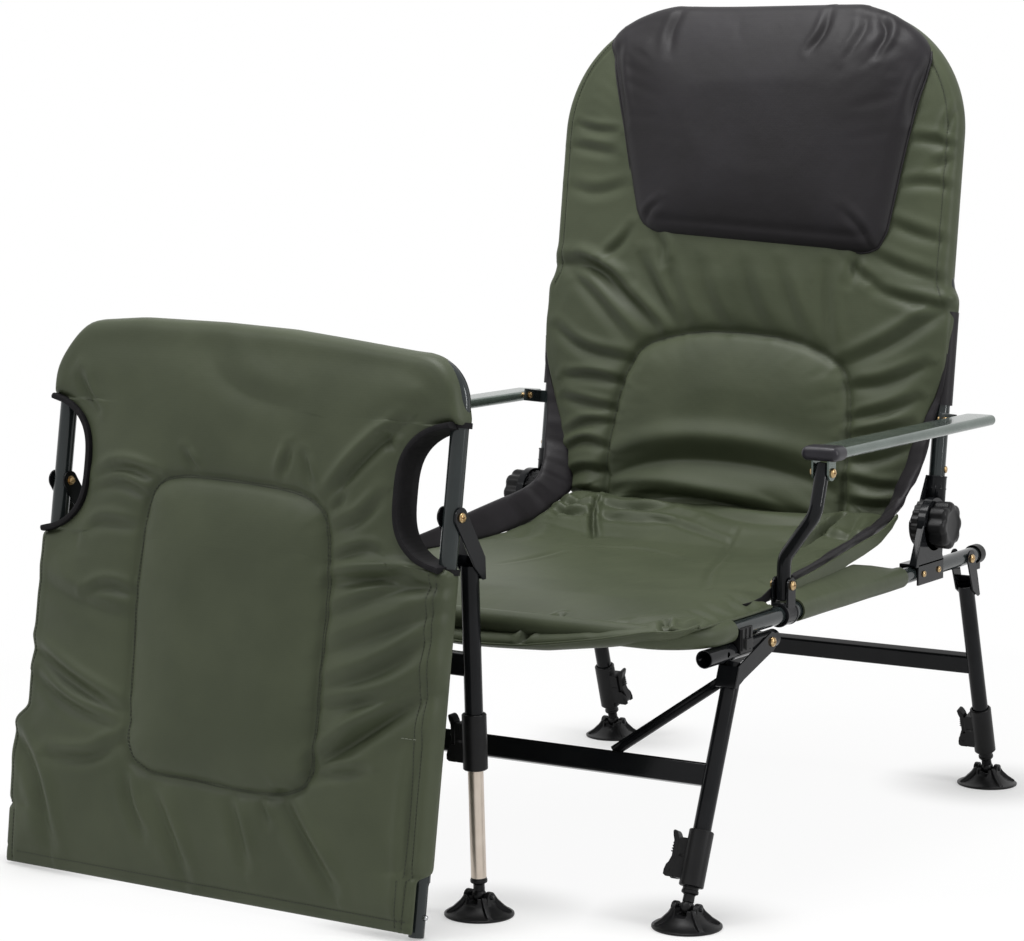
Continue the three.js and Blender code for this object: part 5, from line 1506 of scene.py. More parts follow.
# %% Head pillow
CURL_Z, CURL = 626.0, 24.0  # where the cloth begins to turn over the tube, and how far it runs on
LEFT_SIDE = [(337, -116), (340, -128), (346, -140), (366, -152), (432, -167), (489, -181), (546, -198),
             (578, -207), (594, -215), (606, -214), (620, -203), (632, -183), (643, -152), (650, -128)]
RIGHT_SIDE = [(337, 170), (340, 184), (346, 195), (366, 205), (417, 214), (465, 222), (514, 231), (553, 239),
              (571, 242), (588, 238), (604, 226), (622, 202), (636, 172), (650, 140)]
PILLOW_EDGE = [(x, s) for s, x in LEFT_SIDE + RIGHT_SIDE[::-1]]


def closed_gap(outline, a, b):
    """Distance of points to a closed outline."""
    return near(outline + outline[:1], a, b)[0]


def pillow_gap(x, s):
    return closed_gap(PILLOW_EDGE, x, s)


def pillow_tilt(x, s):
    """The lower edge runs down to the right."""
    return -0.061 * (x - 27) * (1 - smooth(340, 450, s))


def crest(x):
    """Where the cover begins to turn over the top tube, which drops towards its bends."""
    return CURL_Z - BEND + np.sqrt(np.maximum(BEND**2 - np.maximum(np.abs(x) - TOP_HALF + BEND, 0) ** 2, 0))


def on_tube(x, s):
    """The back cover's surface: up its front and on over the top tube. Returns y, z and the
    way square to the surface."""
    z = np.minimum(s, crest(x))
    edge = np.maximum(edge_gap(x, z), 3)
    turn = np.clip((s - crest(x)) / 13.4, 0, 1.9)
    reach = BACK_Y - back_front(x, z, np.maximum(edge, 12.8)) + 0.6
    y = np.where(s > crest(x), BACK_Y - reach * np.cos(turn), back_front(x, z, edge) - 0.6)
    return y, z + 13.4 * np.sin(turn), np.cos(turn), np.sin(turn)


PILLOW_FOLDS = [
    (3, 5, 103, 630, 103, 604, 89, 580), (3.4, 5, 172, 622, 188, 603, 176, 575),
    (2.2, 6, 152, 628, 158, 606, 142, 572), (2.4, 7, -197, 596, -194, 553, -176, 494),
    (2.4, 6, 244, 566, 236, 545, 226, 495), (1.4, 5, -136, 348, -128, 366, -108, 382),
    (1.4, 5, 186, 345, 176, 366, 152, 384), (2, 6, -110, 634, -118, 610, -112, 580),
]


def pillow_place(p):
    """Place along the pillow, counted on over the top tube."""
    start = crest(p[:, 0])
    turn = np.arctan2((p[:, 2] - start) / 17, (BACK_Y - p[:, 1]) / 24)
    s = np.where(p[:, 2] > start, start + 13.4 * turn, p[:, 2])
    return s - pillow_tilt(p[:, 0], s)


def pillow_depth(p):
    """Folds, and the hollow above the roll along the lower edge."""
    x, s = p[:, 0], pillow_place(p)
    gap = pillow_gap(x, s)
    roll = 1.6 * np.exp(-(((gap - 20) / 7) ** 2)) * (1 - smooth(352, 390, s))
    return creases(PILLOW_FOLDS, x, s) + roll


rows = spaced(337, CURL_Z + CURL, 4.8, 0.6)
share = spaced(0, 1, 0.012, 0.6)
low_x, high_x = (np.interp(rows, *np.array(line).T) for line in (LEFT_SIDE, RIGHT_SIDE))
x = low_x[:, None] + share[None] * (high_x - low_x)[:, None]
s = np.repeat(rows[:, None], len(share), 1)
outer = border(x.shape)
gap = pillow_gap(x.ravel(), s.ravel()).reshape(x.shape)
gap[outer] = 0
real = s + pillow_tilt(x, s)
y, z, ahead, up = (v.reshape(x.shape) for v in on_tube(x.ravel(), real.ravel()))
full = 1 - np.exp(-gap / 17)
high = smooth(590, CURL_Z, s)
thick = (2 * np.sqrt(1 - (1 - np.clip(gap / 5, 0, 1)) ** 2) + 17.5 * full) * (1 - 0.4 * high)
thick += 5 * high * np.exp(-(((x + 135) / 60) ** 2)) * full
front = np.stack([x, y - (1.2 + thick) * ahead, z + (1.2 + thick) * up], -1)
rear = np.stack([x, y, z], -1)
rear[outer] = front[outer]
pillow = pad_object("head_pillow_pad", front, rear, AT_BACK, charcoal)
held, p = sewn(pillow, AT_BACK)
held = np.maximum(held, 1 - smooth(1, 30, pillow_gap(p[:, 0], pillow_place(p))))
inflate(pillow, held, 4)
subdivide(pillow)
press(pillow, AT_BACK, pillow_depth)
finish_pad(pillow, "backrest", "head_pillow")
edge = np.concatenate([resampled(line, 5) for line in (RIGHT_SIDE[::-1], LEFT_SIDE)])
edge = edge[edge[:, 0] < CURL_Z - 2]
real = edge[:, 0] + pillow_tilt(edge[:, 1], edge[:, 0])
y, z, _, _ = on_tube(edge[:, 1], real)
around = [Vector(p) for p in np.stack([edge[:, 1], y - 1.4, z], -1)]
piece("head_pillow_piping", rod(around, 1.4, 10), AT_BACK, "backrest", charcoal)

# %% [markdown]
# ## Seat cover
# The pad hangs between the side tubes: its middle sags, most of all towards the back, and its
# edges stand up. In front the cloth rolls over the cross tube and ends in a piped seam above a
# loose lip. Sleeves hold it on the tubes, and a web of cloth joins each side sleeve to the pad.

# %% The form of the seat
FRONT_Y, REAR_Y, TURN_Y = -467.0, 152.0, -438.0


def seat_half(y):
    """Half the width of the pad, with rounded front corners."""
    corner = 246 + 36 * np.sqrt(1 - (np.clip((-432 - y) / 35, 0, 1)) ** 2)
    side = np.interp(y, [-430, -268, -252, -228, -178, -120, -62, -4, 46, 86, 152],
                     [283, 283, 268, 264, 259, 251, 242, 235, 232, 230, 229])
    return np.where(y < -432, corner, side)


def piping_z(x):
    """The height of the piped seam across the front."""
    places = [0, 40, 78, 130, 181, 231, 262, 300]
    return np.interp(np.abs(x), places, [286, 287, 289, 297, 306, 317, 323, 326])


def lip_z(x):
    """The height of the loose lip below it."""
    return np.interp(np.abs(x), [0, 40, 104, 181, 230, 276], [279, 280, 283, 294, 303, 313])


def side_z(y):
    """The height of the pad's side edges."""
    return np.interp(y, [-467, -430, -378, -319, -262, -178, -120, -62, -4, 46, 86, 114, 152],
                     [322, 322, 320.6, 320.6, 322, 328, 329, 330, 334, 341, 351, 361, 370])


def seat_top(x, y, gap):
    """The height of the pad's top, which sags between its edges."""
    places = [-467, -440, -414, -390, -350, -300, -200, -100, -20, 20, 50, 80, 100, 118, 135, 152]
    heights = [305, 313, 323, 326, 326, 326, 324, 321, 319, 321, 327, 341, 353, 363, 370, 372]
    middle = np.interp(y, places, heights)
    rim = side_z(y) + 7
    share = np.abs(x) / seat_half(y)
    sag = np.interp(np.abs(x), [0, 60, 140, 230], [13, 11, 5, 0]) * np.exp(-(((y + 438) / 60) ** 2))
    z = middle + (rim - middle) * share**3 - sag
    return z - 7 * np.exp(-gap / 9)


def seat_gap(x, y):
    return np.maximum(seat_half(y) - np.abs(x), 0)


rows = spaced(TURN_Y, REAR_Y, 5.4, 0.35)
share = spaced(-1, 1, 0.0195, 0.5)
angles = np.linspace(0, math.pi / 2, 9)[:-1]
front_rows, rear_rows = [], []
for angle in angles:
    y, rise = TURN_Y - (TURN_Y - FRONT_Y) * math.cos(angle), math.sin(angle)
    a = share * float(seat_half(np.array(y)))
    b, turn_b = np.full(len(a), y), np.full(len(a), TURN_Y)
    seam, lip = piping_z(a), lip_z(a)
    side = np.exp(-seat_gap(a, b) / 5)
    up = seam + (seat_top(a, turn_b, seat_gap(a, turn_b)) - seam) * rise
    up = up * (1 - side) + (seam + (side_z(y) - seam) * rise) * side
    down = seam - (seam - lip) * min(1, 1.25 * rise) * (1 - side)
    front_rows.append(np.stack([a, b, up], -1))
    rear_rows.append(np.stack([a, b + 5 * rise, down], -1))
for y in rows:
    a = share * float(seat_half(np.array(y)))
    b = np.full(len(a), y)
    gap = seat_gap(a, b)
    back_end = np.clip((REAR_Y - y) / 12, 0, 1)
    rise = math.sqrt(1 - (1 - back_end) ** 2)
    level = seat_top(a, b, gap)
    edge_z = side_z(b) * (gap < 0.1) + (gap >= 0.1) * level
    ahead = 1 - smooth(-262, -230, y)
    softness = 22 - 14 * ahead + 60 * smooth(-80, 0, y)
    firm = 15 * (1 - np.exp(-np.maximum(gap - 9 * ahead, 0) / softness))
    under = level - (3 + firm) * rise
    lip = lip_z(a) + 1.5
    droop = (1 - smooth(TURN_Y + 8, TURN_Y + 34, b)) * (1 - np.exp(-gap / 8))
    under = under + (np.minimum(lip, under) - under) * droop
    front_rows.append(np.stack([a, b, edge_z - (1 - rise) * 3], -1))
    rear_rows.append(np.stack([a, b, np.minimum(under, level - 1)], -1))
front, rear = np.array(front_rows), np.array(rear_rows)
front[-1, :, 2] = rear[-1, :, 2] = (front[-1, :, 2] + rear[-1, :, 2]) / 2
seat_cover = pad_object("seat_cover_pad", front[:, ::-1], rear[:, ::-1], AT_SEAT, olive)
SEAT_SEAMS = [
    (8, 3.6, -178, 136, -170, 108, -155, 80, -129, 42),
    (8, 3.6, 176, 136, 170, 108, 164, 84, 155, 62),
    (2.2, 4, -147, 74, -134, 88, -99, 96, -57, 92, 2, 76, 58, 58),
    (2.2, 4, 52, 88, 56, 58, 79, -11, 116, -105, 151, -175, 184, -241),
    (1.4, 4.5, -128, -16, -90, 6, -42, 19, 9, -4, 69, -41),
    (1.2, 5, -118, -202, -114, -129, -123, -47),
]
SEAT_FOLDS = [
    (9, 4, 76, -468, 83, -456, 94, -436, 98, -412), (9, 4, 258, -468, 250, -448, 236, -426),
    (3, 4, 268, -450, 276, -428, 272, -408), (10, 4, -128, -468, -132, -452, -124, -424),
    (6, 5, -258, -468, -250, -448, -236, -426),
    (2.2, 7, 118, -447, 184, -446, 220, -424, 252, -400),
    (1.6, 6, 170, -460, 190, -436, 196, -414),
    (4, 7, -196, 132, -202, 104, -206, 70), (4, 7, 196, 132, 202, 104, 206, 70),
    (3.4, 5, -172, 96, -196, 84, -224, 86), (3.4, 5, 168, 92, 192, 80, 222, 84),
    (5, 5, -168, 118, -120, 112, -60, 120), (4, 5, -158, 92, -110, 84, -40, 92),
    (5, 5, -232, 118, -206, 104, -172, 116), (4, 5, -226, 96, -200, 84, -168, 92),
    (3, 7, -140, 124, -90, 108, -20, 100), (3.5, 8, -30, 122, 40, 104, 110, 100, 160, 112),
    (2, 9, -226, 50, -206, 20, -198, -40), (2, 9, 226, 50, 206, 20, 198, -40),
    (2.4, 6, 276, -300, 254, -285, 230, -262), (2, 6, 254, -190, 236, -182, 210, -160),
    (2, 6, 276, -360, 256, -352, 230, -330), (2.4, 6, -276, -300, -254, -285, -230, -262),
    (2, 5, 276, -330, 262, -318, 244, -300), (2, 5, 276, -395, 258, -384, 236, -372),
]


def seat_depth(p):
    return creases(SEAT_SEAMS + SEAT_FOLDS, p[:, 0], p[:, 1])


held, p = sewn(seat_cover, AT_SEAT)
held = np.maximum(held, 1 - smooth(3, 16, seat_gap(p[:, 0], p[:, 1])))
held = np.maximum(held, 1 - smooth(-462, -440, p[:, 1]))
held = np.maximum(held, smooth(130, 148, p[:, 1]))
for stroke in SEAT_SEAMS[:2]:
    held = np.maximum(held, 1 - smooth(2, 12, near(stroke_line(stroke), p[:, 0], p[:, 1])[0]))
inflate(seat_cover, held, 4, 3.0)
subdivide(seat_cover)
press(seat_cover, AT_SEAT, seat_depth)
finish_pad(seat_cover, "chair", "seat_cover")
print("folds of the seat", len(SEAT_FOLDS))

# %% Piping, sleeves and webs of the seat
side_y = np.linspace(-262, -432, 30)
right_edge = [(float(seat_half(y)), y, float(side_z(y))) for y in side_y]
turn_y = -432 - 35 * np.sin(np.linspace(0.1, 0.5 * math.pi, 12))
turn_z_at = np.interp(turn_y, [-467, -432], [piping_z(244.0), 326])
right_edge += [(float(seat_half(y)), y, float(z)) for y, z in zip(turn_y, turn_z_at)]
across = [(float(a), -467.6, float(piping_z(a))) for a in np.linspace(236, 0, 30)]
half_line = [Vector(p) for p in right_edge + across]
seat_piping = half_line + [Vector((-p.x, p.y, p.z)) for p in half_line[-2::-1]]
piece("seat_piping", rod(seat_piping, 1.5, 10), AT_SEAT, "chair", olive)
front_part = [Vector((HALF, -366, SEAT_Z)), *SEAT_LINE[1:-1], Vector((-HALF, -366, SEAT_Z))]
piece("seat_front_sleeve", tube(front_part, SLEEVE, 1.9, 40), AT_SEAT, "chair", olive)


def drop(radius, apex, tip, count=44):
    """A ring round the tube that runs out to a rounded tip at an apex (x, z)."""
    cx, cz = HALF, SEAT_Z
    dx, dz = apex[0] - cx, apex[1] - cz
    far = math.hypot(dx, dz)
    toward = math.atan2(dz, dx)
    spread = math.acos(max(-1, min(1, (radius - tip) / max(far, radius - tip + 0.01))))
    ring = []
    for i in range(count - 8):
        angle = toward + spread + (2 * math.pi - 2 * spread) * i / (count - 9)
        ring.append((cx + radius * math.cos(angle), cz + radius * math.sin(angle)))
    for i in range(8):
        angle = toward - spread + 2 * spread * i / 7
        ring.append((apex[0] + tip * math.cos(angle), apex[1] + tip * math.sin(angle)))
    return ring


for side, sign in SIDES:
    outside, inner = [], []
    for y in np.linspace(-206, 72, 40):
        height = float(np.interp(y, [-206, -160, -90, -30, 15, 50, 72], [326, 329, 332, 336, 329, 322, 318]))
        place = float(np.interp(y, [-206, -30, 15, 50, 72], [268, 268, 271, 276, 280]))
        sag = 0.6 * math.sin(y / 17)
        outside.append([(a, float(y), b) for a, b in drop(SLEEVE + 0.2 * sag, (place, height), 1.5)])
        inner.append([(a, float(y), b) for a, b in drop(RING + 0.2, (place + 1.2, height - 3.2), 0.5)])
    web = loft(outside + inner[::-1], loop=True)
    piece(f"seat_side_sleeve_{side}", flipped(web, sign), AT_SEAT, "chair", olive)

for side, sign in SIDES:
    # A strap of black tape holds the pad's side at the clamp's inner ear
    path = [(262, -300, 324), (266, -280, 325), (268, -262, 328), (268.6, -246, 334), (268.6, -232, 338)]
    corners = ((-0.8, -8), (0.8, -8), (0.8, 3), (-0.8, 3))
    rings = [[(a + da, b, c + dc) for da, dc in corners] for a, b, c in path]
    piece(f"seat_strap_{side}", flipped(rolled(loft(rings), 0.4), sign), AT_SEAT, "chair", tape)

# %% [markdown]
# ## Side panels between seat and back
# A charcoal panel stands up from each side of the seat, turns the corner beside the hinge and
# narrows up the side of the back, where it becomes the sleeve round the tube. It is drawn as a
# thin stuffed band between two lines.

# %% Side panels
to_seat = SHIFT.inverted() @ AT_BACK


def from_back(x, y, z):
    """A point of the back's own frame as one of the seat's."""
    return tuple(to_seat @ Vector((x, y, z)))


PANEL = [
    ((258, -178, 329), (264, -178, 346), 4), ((249, -120, 329), (264.5, -120, 352), 7),
    ((240, -62, 330), (265, -62, 361), 9), ((233, -4, 334), (265, -4, 369), 11),
    ((230, 46, 341), (264, 46, 375), 12), ((229, 86, 350), (262.5, 82, 380), 12),
    ((228, 112, 360), (261, 104, 387), 12), (from_back(226, 4, 6), from_back(261, -34, 24), 11),
    (from_back(230, 7, 26), from_back(264, -20, 40), 10), (from_back(237, 8, 50), from_back(270, -9, 58), 9),
    (from_back(245, 8, 76), from_back(275, -2, 80), 8), (from_back(253, 9, 104), from_back(277, 3, 105), 7.5),
    (from_back(266, 9, 132), from_back(280, 7, 131), 6.5),
    (from_back(277, 8, 154), from_back(284, 9, 152), 5),
    (from_back(283, 8, 178), from_back(288, 9.5, 176), 4),
    (from_back(286, 7, 212), from_back(290, 9.5, 210), 3),
]


def lens(a, b, thick, along, count=14):
    """A closed flat ring from a to b, bulging by half its thickness to both sides."""
    a, b = Vector(a), Vector(b)
    normal = (b - a).cross(along).normalized()
    front, rear = [], []
    for i in range(count + 1):
        share = i / count
        bulge = thick / 2 * math.sqrt(max(0, 1 - (2 * share - 1) ** 4))
        front.append(a.lerp(b, share) + normal * bulge)
        rear.append(a.lerp(b, share) - normal * bulge)
    return front + rear[-2:0:-1]


def panel_rings():
    a_line = soften([s[0] for s in PANEL], 2)
    b_line = soften([s[1] for s in PANEL], 2)
    thick = soften([(s[2], 0) for s in PANEL], 2)[:, 0]
    rings = []
    for i in range(len(a_line)):
        along = Vector(a_line[min(i + 1, len(a_line) - 1)] - a_line[max(i - 1, 0)]).normalized()
        wave = 1 + 0.22 * math.sin(i * 0.9) + 0.12 * math.sin(i * 2.3 + 1)
        rings.append(lens(a_line[i], b_line[i], float(thick[i]) * wave, along))
    return rings, a_line, b_line


rings, a_line, b_line = panel_rings()
for side, sign in SIDES:
    made = mesh_object(f"side_panel_{side}", flipped(loft(rings), sign), AT_SEAT, charcoal)
    subdivide(made)
    turn_out(made)
    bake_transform(made)
    sleeve_line = [(HALF, BACK_Y, v) for v in (147, 200, 262)]
    piece(f"back_side_sleeve_{side}", flipped(tube(sleeve_line, SLEEVE - 0.1, 1.9, 40), sign), AT_BACK,
          "backrest", charcoal)
    # The olive hem outside the panel, from the panel's edge down to a line of its own
    strip = []
    for _, y, z in (b for b in b_line if b[1] < 104 and b[2] < 387):
        top_z, x0 = z - 8 + 4 * smooth(40, 104, y), 268.6 - 3.2 * smooth(30, 104, y)
        low_z = np.interp(y, [-178, -79, -40, 2, 46, 84, 100], [324, 328, 338, 344, 352, 365, 375])
        low_z = min(low_z, top_z - 3)
        mid_z = (top_z + low_z) / 2
        strip.append([(x0 - 2.2, y, top_z), (x0, y, top_z - 0.5), (x0 + 0.3, y, mid_z),
                      (x0 - 0.4, y, low_z + 1), (x0 - 1.6, y, low_z), (x0 - 3.2, y, low_z + 1),
                      (x0 - 3, y, mid_z)])
    piece(f"seat_side_hem_{side}", flipped(loft(strip), sign), AT_SEAT, "chair", olive)
print("seat and side panels done")

# %% [markdown]
# ## Footrest cover
# The footrest's pad has a deep cut-out on each side, bound with black tape, and a raised panel
# inside a rounded seam. It is sewn round the frame above and below the cut-outs.

# %% The form of the footrest cover
CUT_LOW, CUT_HIGH, CUT_DEEP = 391.0, 543.0, 62.0
REST_TOP = FOOTREST_TOP + SLEEVE
HEM_Z = 5.0  # the cloth's lower edge


def rest_half(z):
    """Half the width of the cloth at a height: the hem below, the cut-out and the round top."""
    into = np.clip((z - 562) / (46 + SLEEVE), 0, 1)
    wide = 235 + (46 + SLEEVE) * np.sqrt(1 - into**2)
    wide = np.where(z < 66, 288.0, wide)
    place = np.clip((z - CUT_LOW) / (CUT_HIGH - CUT_LOW), 0, 1)
    hollow = 284 - CUT_DEEP * (1 - np.abs(2 * place - 1) ** 3) ** 0.6
    return np.where((z > CUT_LOW) & (z < CUT_HIGH), np.minimum(hollow, wide), wide)


REST_PANEL = [
    (-128, 297), (-129, 347), (-126, 403), (-121, 435), (-109, 456), (-92, 463), (-65, 467), (-2, 466),
    (59, 463), (94, 459), (116, 451), (132, 440), (139, 418), (145, 372), (146, 324), (144, 280), (145, 203),
    (144, 160), (137, 143), (121, 134), (96, 128), (53, 126), (-18, 129), (-81, 129), (-107, 139),
    (-118, 158), (-125, 209),
]
REST_FOLDS = [
    (4, 8, -284, 250, -208, 217, -132, 192), (3.4, 7, -271, 218, -219, 191, -137, 175),
    (3.5, 7, -222, 131, -160, 134, -126, 158), (4, 9, -288, 153, -243, 107, -219, 30),
    (3, 6, -113, 124, -104, 91, -83, 62), (3.4, 8, -73, 110, -46, 64, -24, 22),
    (3, 7, 33, 116, 49, 84, 62, 49), (2.4, 5, 75, 120, 91, 97),
    (4.4, 8, 107, 126, 144, 84, 184, 38),
    (3.6, 7, 151, 363, 216, 375, 286, 372), (2.6, 6, 151, 330, 237, 367, 286, 374),
    (3, 8, 151, 290, 222, 317, 286, 345), (3.2, 8, 150, 250, 227, 275, 284, 321),
    (3.4, 8, 150, 230, 230, 243, 286, 277), (6.5, 9, 148, 166, 194, 196, 286, 259),
    (3.4, 6, 148, 155, 169, 160, 218, 170), (2.4, 7, 284, 208, 275, 167, 280, 20),
    (3.4, 6, -204, 456, -166, 470, -112, 460), (3, 6, -200, 442, -164, 452, -123, 438),
    (2.4, 5, -72, 490, -57, 472), (2.4, 5, 70, 474, 80, 506), (2.4, 5, 98, 498, 110, 468),
    (4.4, 7, 139, 455, 181, 506, 226, 540), (2, 5, 200, 527, 218, 512),
    (2.4, 5, 144, 442, 160, 462),
    (3, 6, 150, 422, 181, 434, 205, 462), (2.4, 5, 150, 391, 192, 406, 206, 402),
    (3, 6, 150, 369, 216, 378, 262, 382), (2.6, 6, -244, 570, -231, 545, -214, 530),
    (2.6, 6, -137, 402, -187, 405, -206, 396), (2.6, 6, -133, 326, -169, 333, -200, 321),
    (1.8, 9, -280, 330, -220, 312, -140, 300), (1.4, 12, -60, 600, 0, 560, 80, 548),
]


def rest_top(x):
    """How far the stuffing stands up over the top tube."""
    return np.interp(x, [-281, -245, -170, -50, 52, 140, 191, 232], [0, 16, 22, 21, 17, 9, 4, 0])


def rest_side(x, z):
    """How far the loose lower corner on the left hangs outward."""
    return np.where(x < 0, 20 * smooth(186, 160, z) * (0.7 + 0.3 * z / 160), -5 * smooth(548, 575, z))


def stretched(x, z):
    """From the even outline to the real one, with its loose corner and full top."""
    half = rest_half(z)
    low = 5.5 * smooth(40, 5, z) * (290 - x) / 580
    return x * (1 + rest_side(x, z) / half), z + rest_top(x) * smooth(575, 621, z) - low


def relaxed(x, z):
    """From the real outline back to the even one, in which folds and seams are given."""
    z = z - rest_top(x) * smooth(575, 621 + rest_top(x), z)
    half = rest_half(z)
    return x * half / (half + rest_side(x, z)), z


def rest_gap(x, z):
    """Distance to the cover's side and top edges."""
    low, mid = np.arange(HEM_Z, CUT_LOW, 6), np.linspace(CUT_LOW + 0.1, CUT_HIGH - 0.1, 60)
    places = np.concatenate([low, [CUT_LOW], mid, np.linspace(CUT_HIGH + 0.2, REST_TOP, 24)])
    line = np.stack([rest_half(places), places], -1)
    return near(np.concatenate([line, [(0.0, REST_TOP)]]), np.abs(x), z)[0]


def panel_gap(x, z):
    return closed_gap(REST_PANEL, x, z)


rows = np.concatenate([
    [HEM_Z], spaced(7.5, 64, 5.4), spaced(67.5, CUT_LOW - 1, 5.4),
    [CUT_LOW + 0.6, CUT_LOW + 2, CUT_LOW + 4.5], spaced(CUT_LOW + 9, CUT_HIGH - 9, 5.4),
    [CUT_HIGH - 4.5, CUT_HIGH - 2, CUT_HIGH - 0.6], spaced(CUT_HIGH + 1, REST_TOP, 5.0, 0.6),
])
x, z = grid(rows, rest_half, spaced(-1, 1, 0.0188, 0.55))
shape = x.shape
flat_x, flat_z = x.ravel(), z.ravel()
gap = rest_gap(flat_x, flat_z).reshape(shape)
gap[border(shape)] = 0
wrap = smooth(64, 68, z) * (1 - ((z > CUT_LOW) & (z < CUT_HIGH)))
gap_a = np.minimum(gap, np.clip(z - HEM_Z, 0, None))
side_wrap = wrap * ((np.abs(x) > 225) | (z > CUT_HIGH))
radius = 8 + 4.8 * side_wrap
thick_front = 5 + 17 * side_wrap
centre = -17 + 17 * side_wrap
shell = thick_front * np.sqrt(1 - (1 - np.clip(gap_a / radius, 0, 1)) ** 2)
crown = 9 * (1 - np.exp(-np.clip(gap_a - radius, 0, None) / 30))
dip = 2.0 * side_wrap * np.exp(-(((gap_a - 30) / 9) ** 2))
within = inside(REST_PANEL, flat_x, flat_z)
rise = 5.5 * smooth(0, 22, np.where(within, panel_gap(flat_x, flat_z), 0)).reshape(shape)
front_y = centre - shell - crown + dip - rise
flat = -17 + 5 * np.sqrt(1 - (1 - np.clip(gap_a / 8, 0, 1)) ** 2)
ring = SLEEVE * np.sqrt(np.clip(1 - ((gap_a - SLEEVE) / SLEEVE) ** 2, 0, 1))
blend = smooth(SLEEVE * 1.5, SLEEVE * 2.7, gap_a)
rear_y = np.where(side_wrap > 0.5, ring * (1 - blend) - 12 * blend, flat)
x, z = stretched(x, z)
front = np.stack([x, front_y, z], -1)
rear = np.stack([x, np.maximum(rear_y, front_y + 3), z], -1)
rest_cover = pad_object("footrest_cover_pad", front, rear, AT_PANEL, olive)


def rest_depth(p):
    """Folds, the panel's seam with the hollow beside it, and the hems."""
    x, z = relaxed(p[:, 0], p[:, 2])
    gap = panel_gap(x, z)
    seam = 5.5 * np.exp(-((gap / 4.4) ** 1.5)) + 1.8 * np.exp(-((gap / 15) ** 2))
    edge = rest_gap(x, z)
    below = 1 - smooth(CUT_LOW - 14, CUT_LOW, z)
    hem = 0.8 * np.exp(-(((edge - 12) / 1.5) ** 2)) * below
    hem += 0.8 * np.exp(-(((edge - 20) / 1.5) ** 2)) * (x > 0) * below
    bottom = 1.0 * np.exp(-(((z - 18) / 2) ** 2))
    return 1.5 * creases(REST_FOLDS, x, z) + seam + hem + bottom


held, p = sewn(rest_cover, AT_PANEL)
x, z = relaxed(p[:, 0], p[:, 2])
held = np.maximum(held, 1 - smooth(14, 30, np.minimum(rest_gap(x, z), np.abs(z - HEM_Z) + 10)))
held = np.maximum(held, 1 - smooth(2, 12, panel_gap(x, z)))
inflate(rest_cover, held, 5)
subdivide(rest_cover)
press(rest_cover, AT_PANEL, rest_depth)
finish_pad(rest_cover, "footrest", "footrest_cover")
print("folds of the footrest cover", len(REST_FOLDS))

# %% Bindings of the cut-outs
# Tape round the edge of each cut-out in front, with a wall of lining that runs back beside the tube
LINING = [(-3.6, -23), (-2.8, -26), (0, -27), (2.8, -26), (3.6, -23), (3.6, -16), (2, -13), (-1.5, -11),
          (-2.4, 0), (-2.4, 8), (-3.6, 10), (-5, 8)]
for side, sign in SIDES:
    places = np.linspace(CUT_LOW + 0.5, CUT_HIGH - 0.5, 64)
    edge = [Vector((float(rest_half(np.array(v))) + 0.5, 0, float(v))) for v in places]
    edge = [Vector((285, 0, CUT_LOW - 1))] + edge + [Vector((285, 0, CUT_HIGH + 1))]
    rings = []
    for i, p in enumerate(edge):
        along = (edge[min(i + 1, len(edge) - 1)] - edge[max(i - 1, 0)]).normalized()
        across = along.cross(Vector((0, 1, 0))).normalized()
        rings.append([p + across * a + Vector((0, b, 0)) for a, b in LINING])
    ends = ((CUT_LOW - 5, CUT_LOW + 1.2), (CUT_HIGH - 1.2, CUT_HIGH + 5))
    bands = [tube([(HALF, 0, low), (HALF, 0, high)], SLEEVE + 0.6, 2.6, 40) for low, high in ends]
    piece(f"cutout_binding_{side}", flipped(merged(loft(rings), *bands), sign), AT_PANEL, "footrest",
          tape)
print("footrest cover done")

# %% [markdown]
# ## Seams and stitches
# The thread shows on the arch, round the footrest's panel, beside the hems and along the side
# panels. Stitches are set out by Geometry Nodes along lines laid on the cloth.

# %% Lay the stitches on the cloth
def laid(made, places, matrix, ahead, lift=0.25):
    """Points (x, z) of a local frame moved back from y = ahead onto a pad, in the row frame."""
    mesh = made.data
    tree = BVHTree.FromPolygons([v.co for v in mesh.vertices], [tuple(f.vertices) for f in mesh.polygons])
    way = (matrix.to_3x3() @ Vector((0, 1, 0))).normalized()
    line = []
    for x, z in places:
        start = Vector(to_frame(np.array([(x, ahead, z)], float), matrix)[0]) - way * 0.08
        hit, normal, _, _ = tree.ray_cast(start, way, 0.3)
        if hit is not None:
            line.append(hit + normal * lift / 1000)
    return line


def offset(line, gap):
    """A line in a plane moved sideways by a gap."""
    line = np.array(line, float)
    step = np.gradient(line, axis=0)
    length = np.maximum(np.hypot(step[:, 0], step[:, 1]), 1e-6)
    return line + gap * np.stack([step[:, 1], -step[:, 0]], -1) / length[:, None]


def sew(name, made, lines, matrix, ahead, body):
    """Rows of dark stitches on a pad, along lines of (x, z)."""
    rows = [laid(made, line, matrix, ahead) for line in lines]
    stitches(name, [row for row in rows if len(row) > 2], 4.4, 1.35, body, thread_dark)


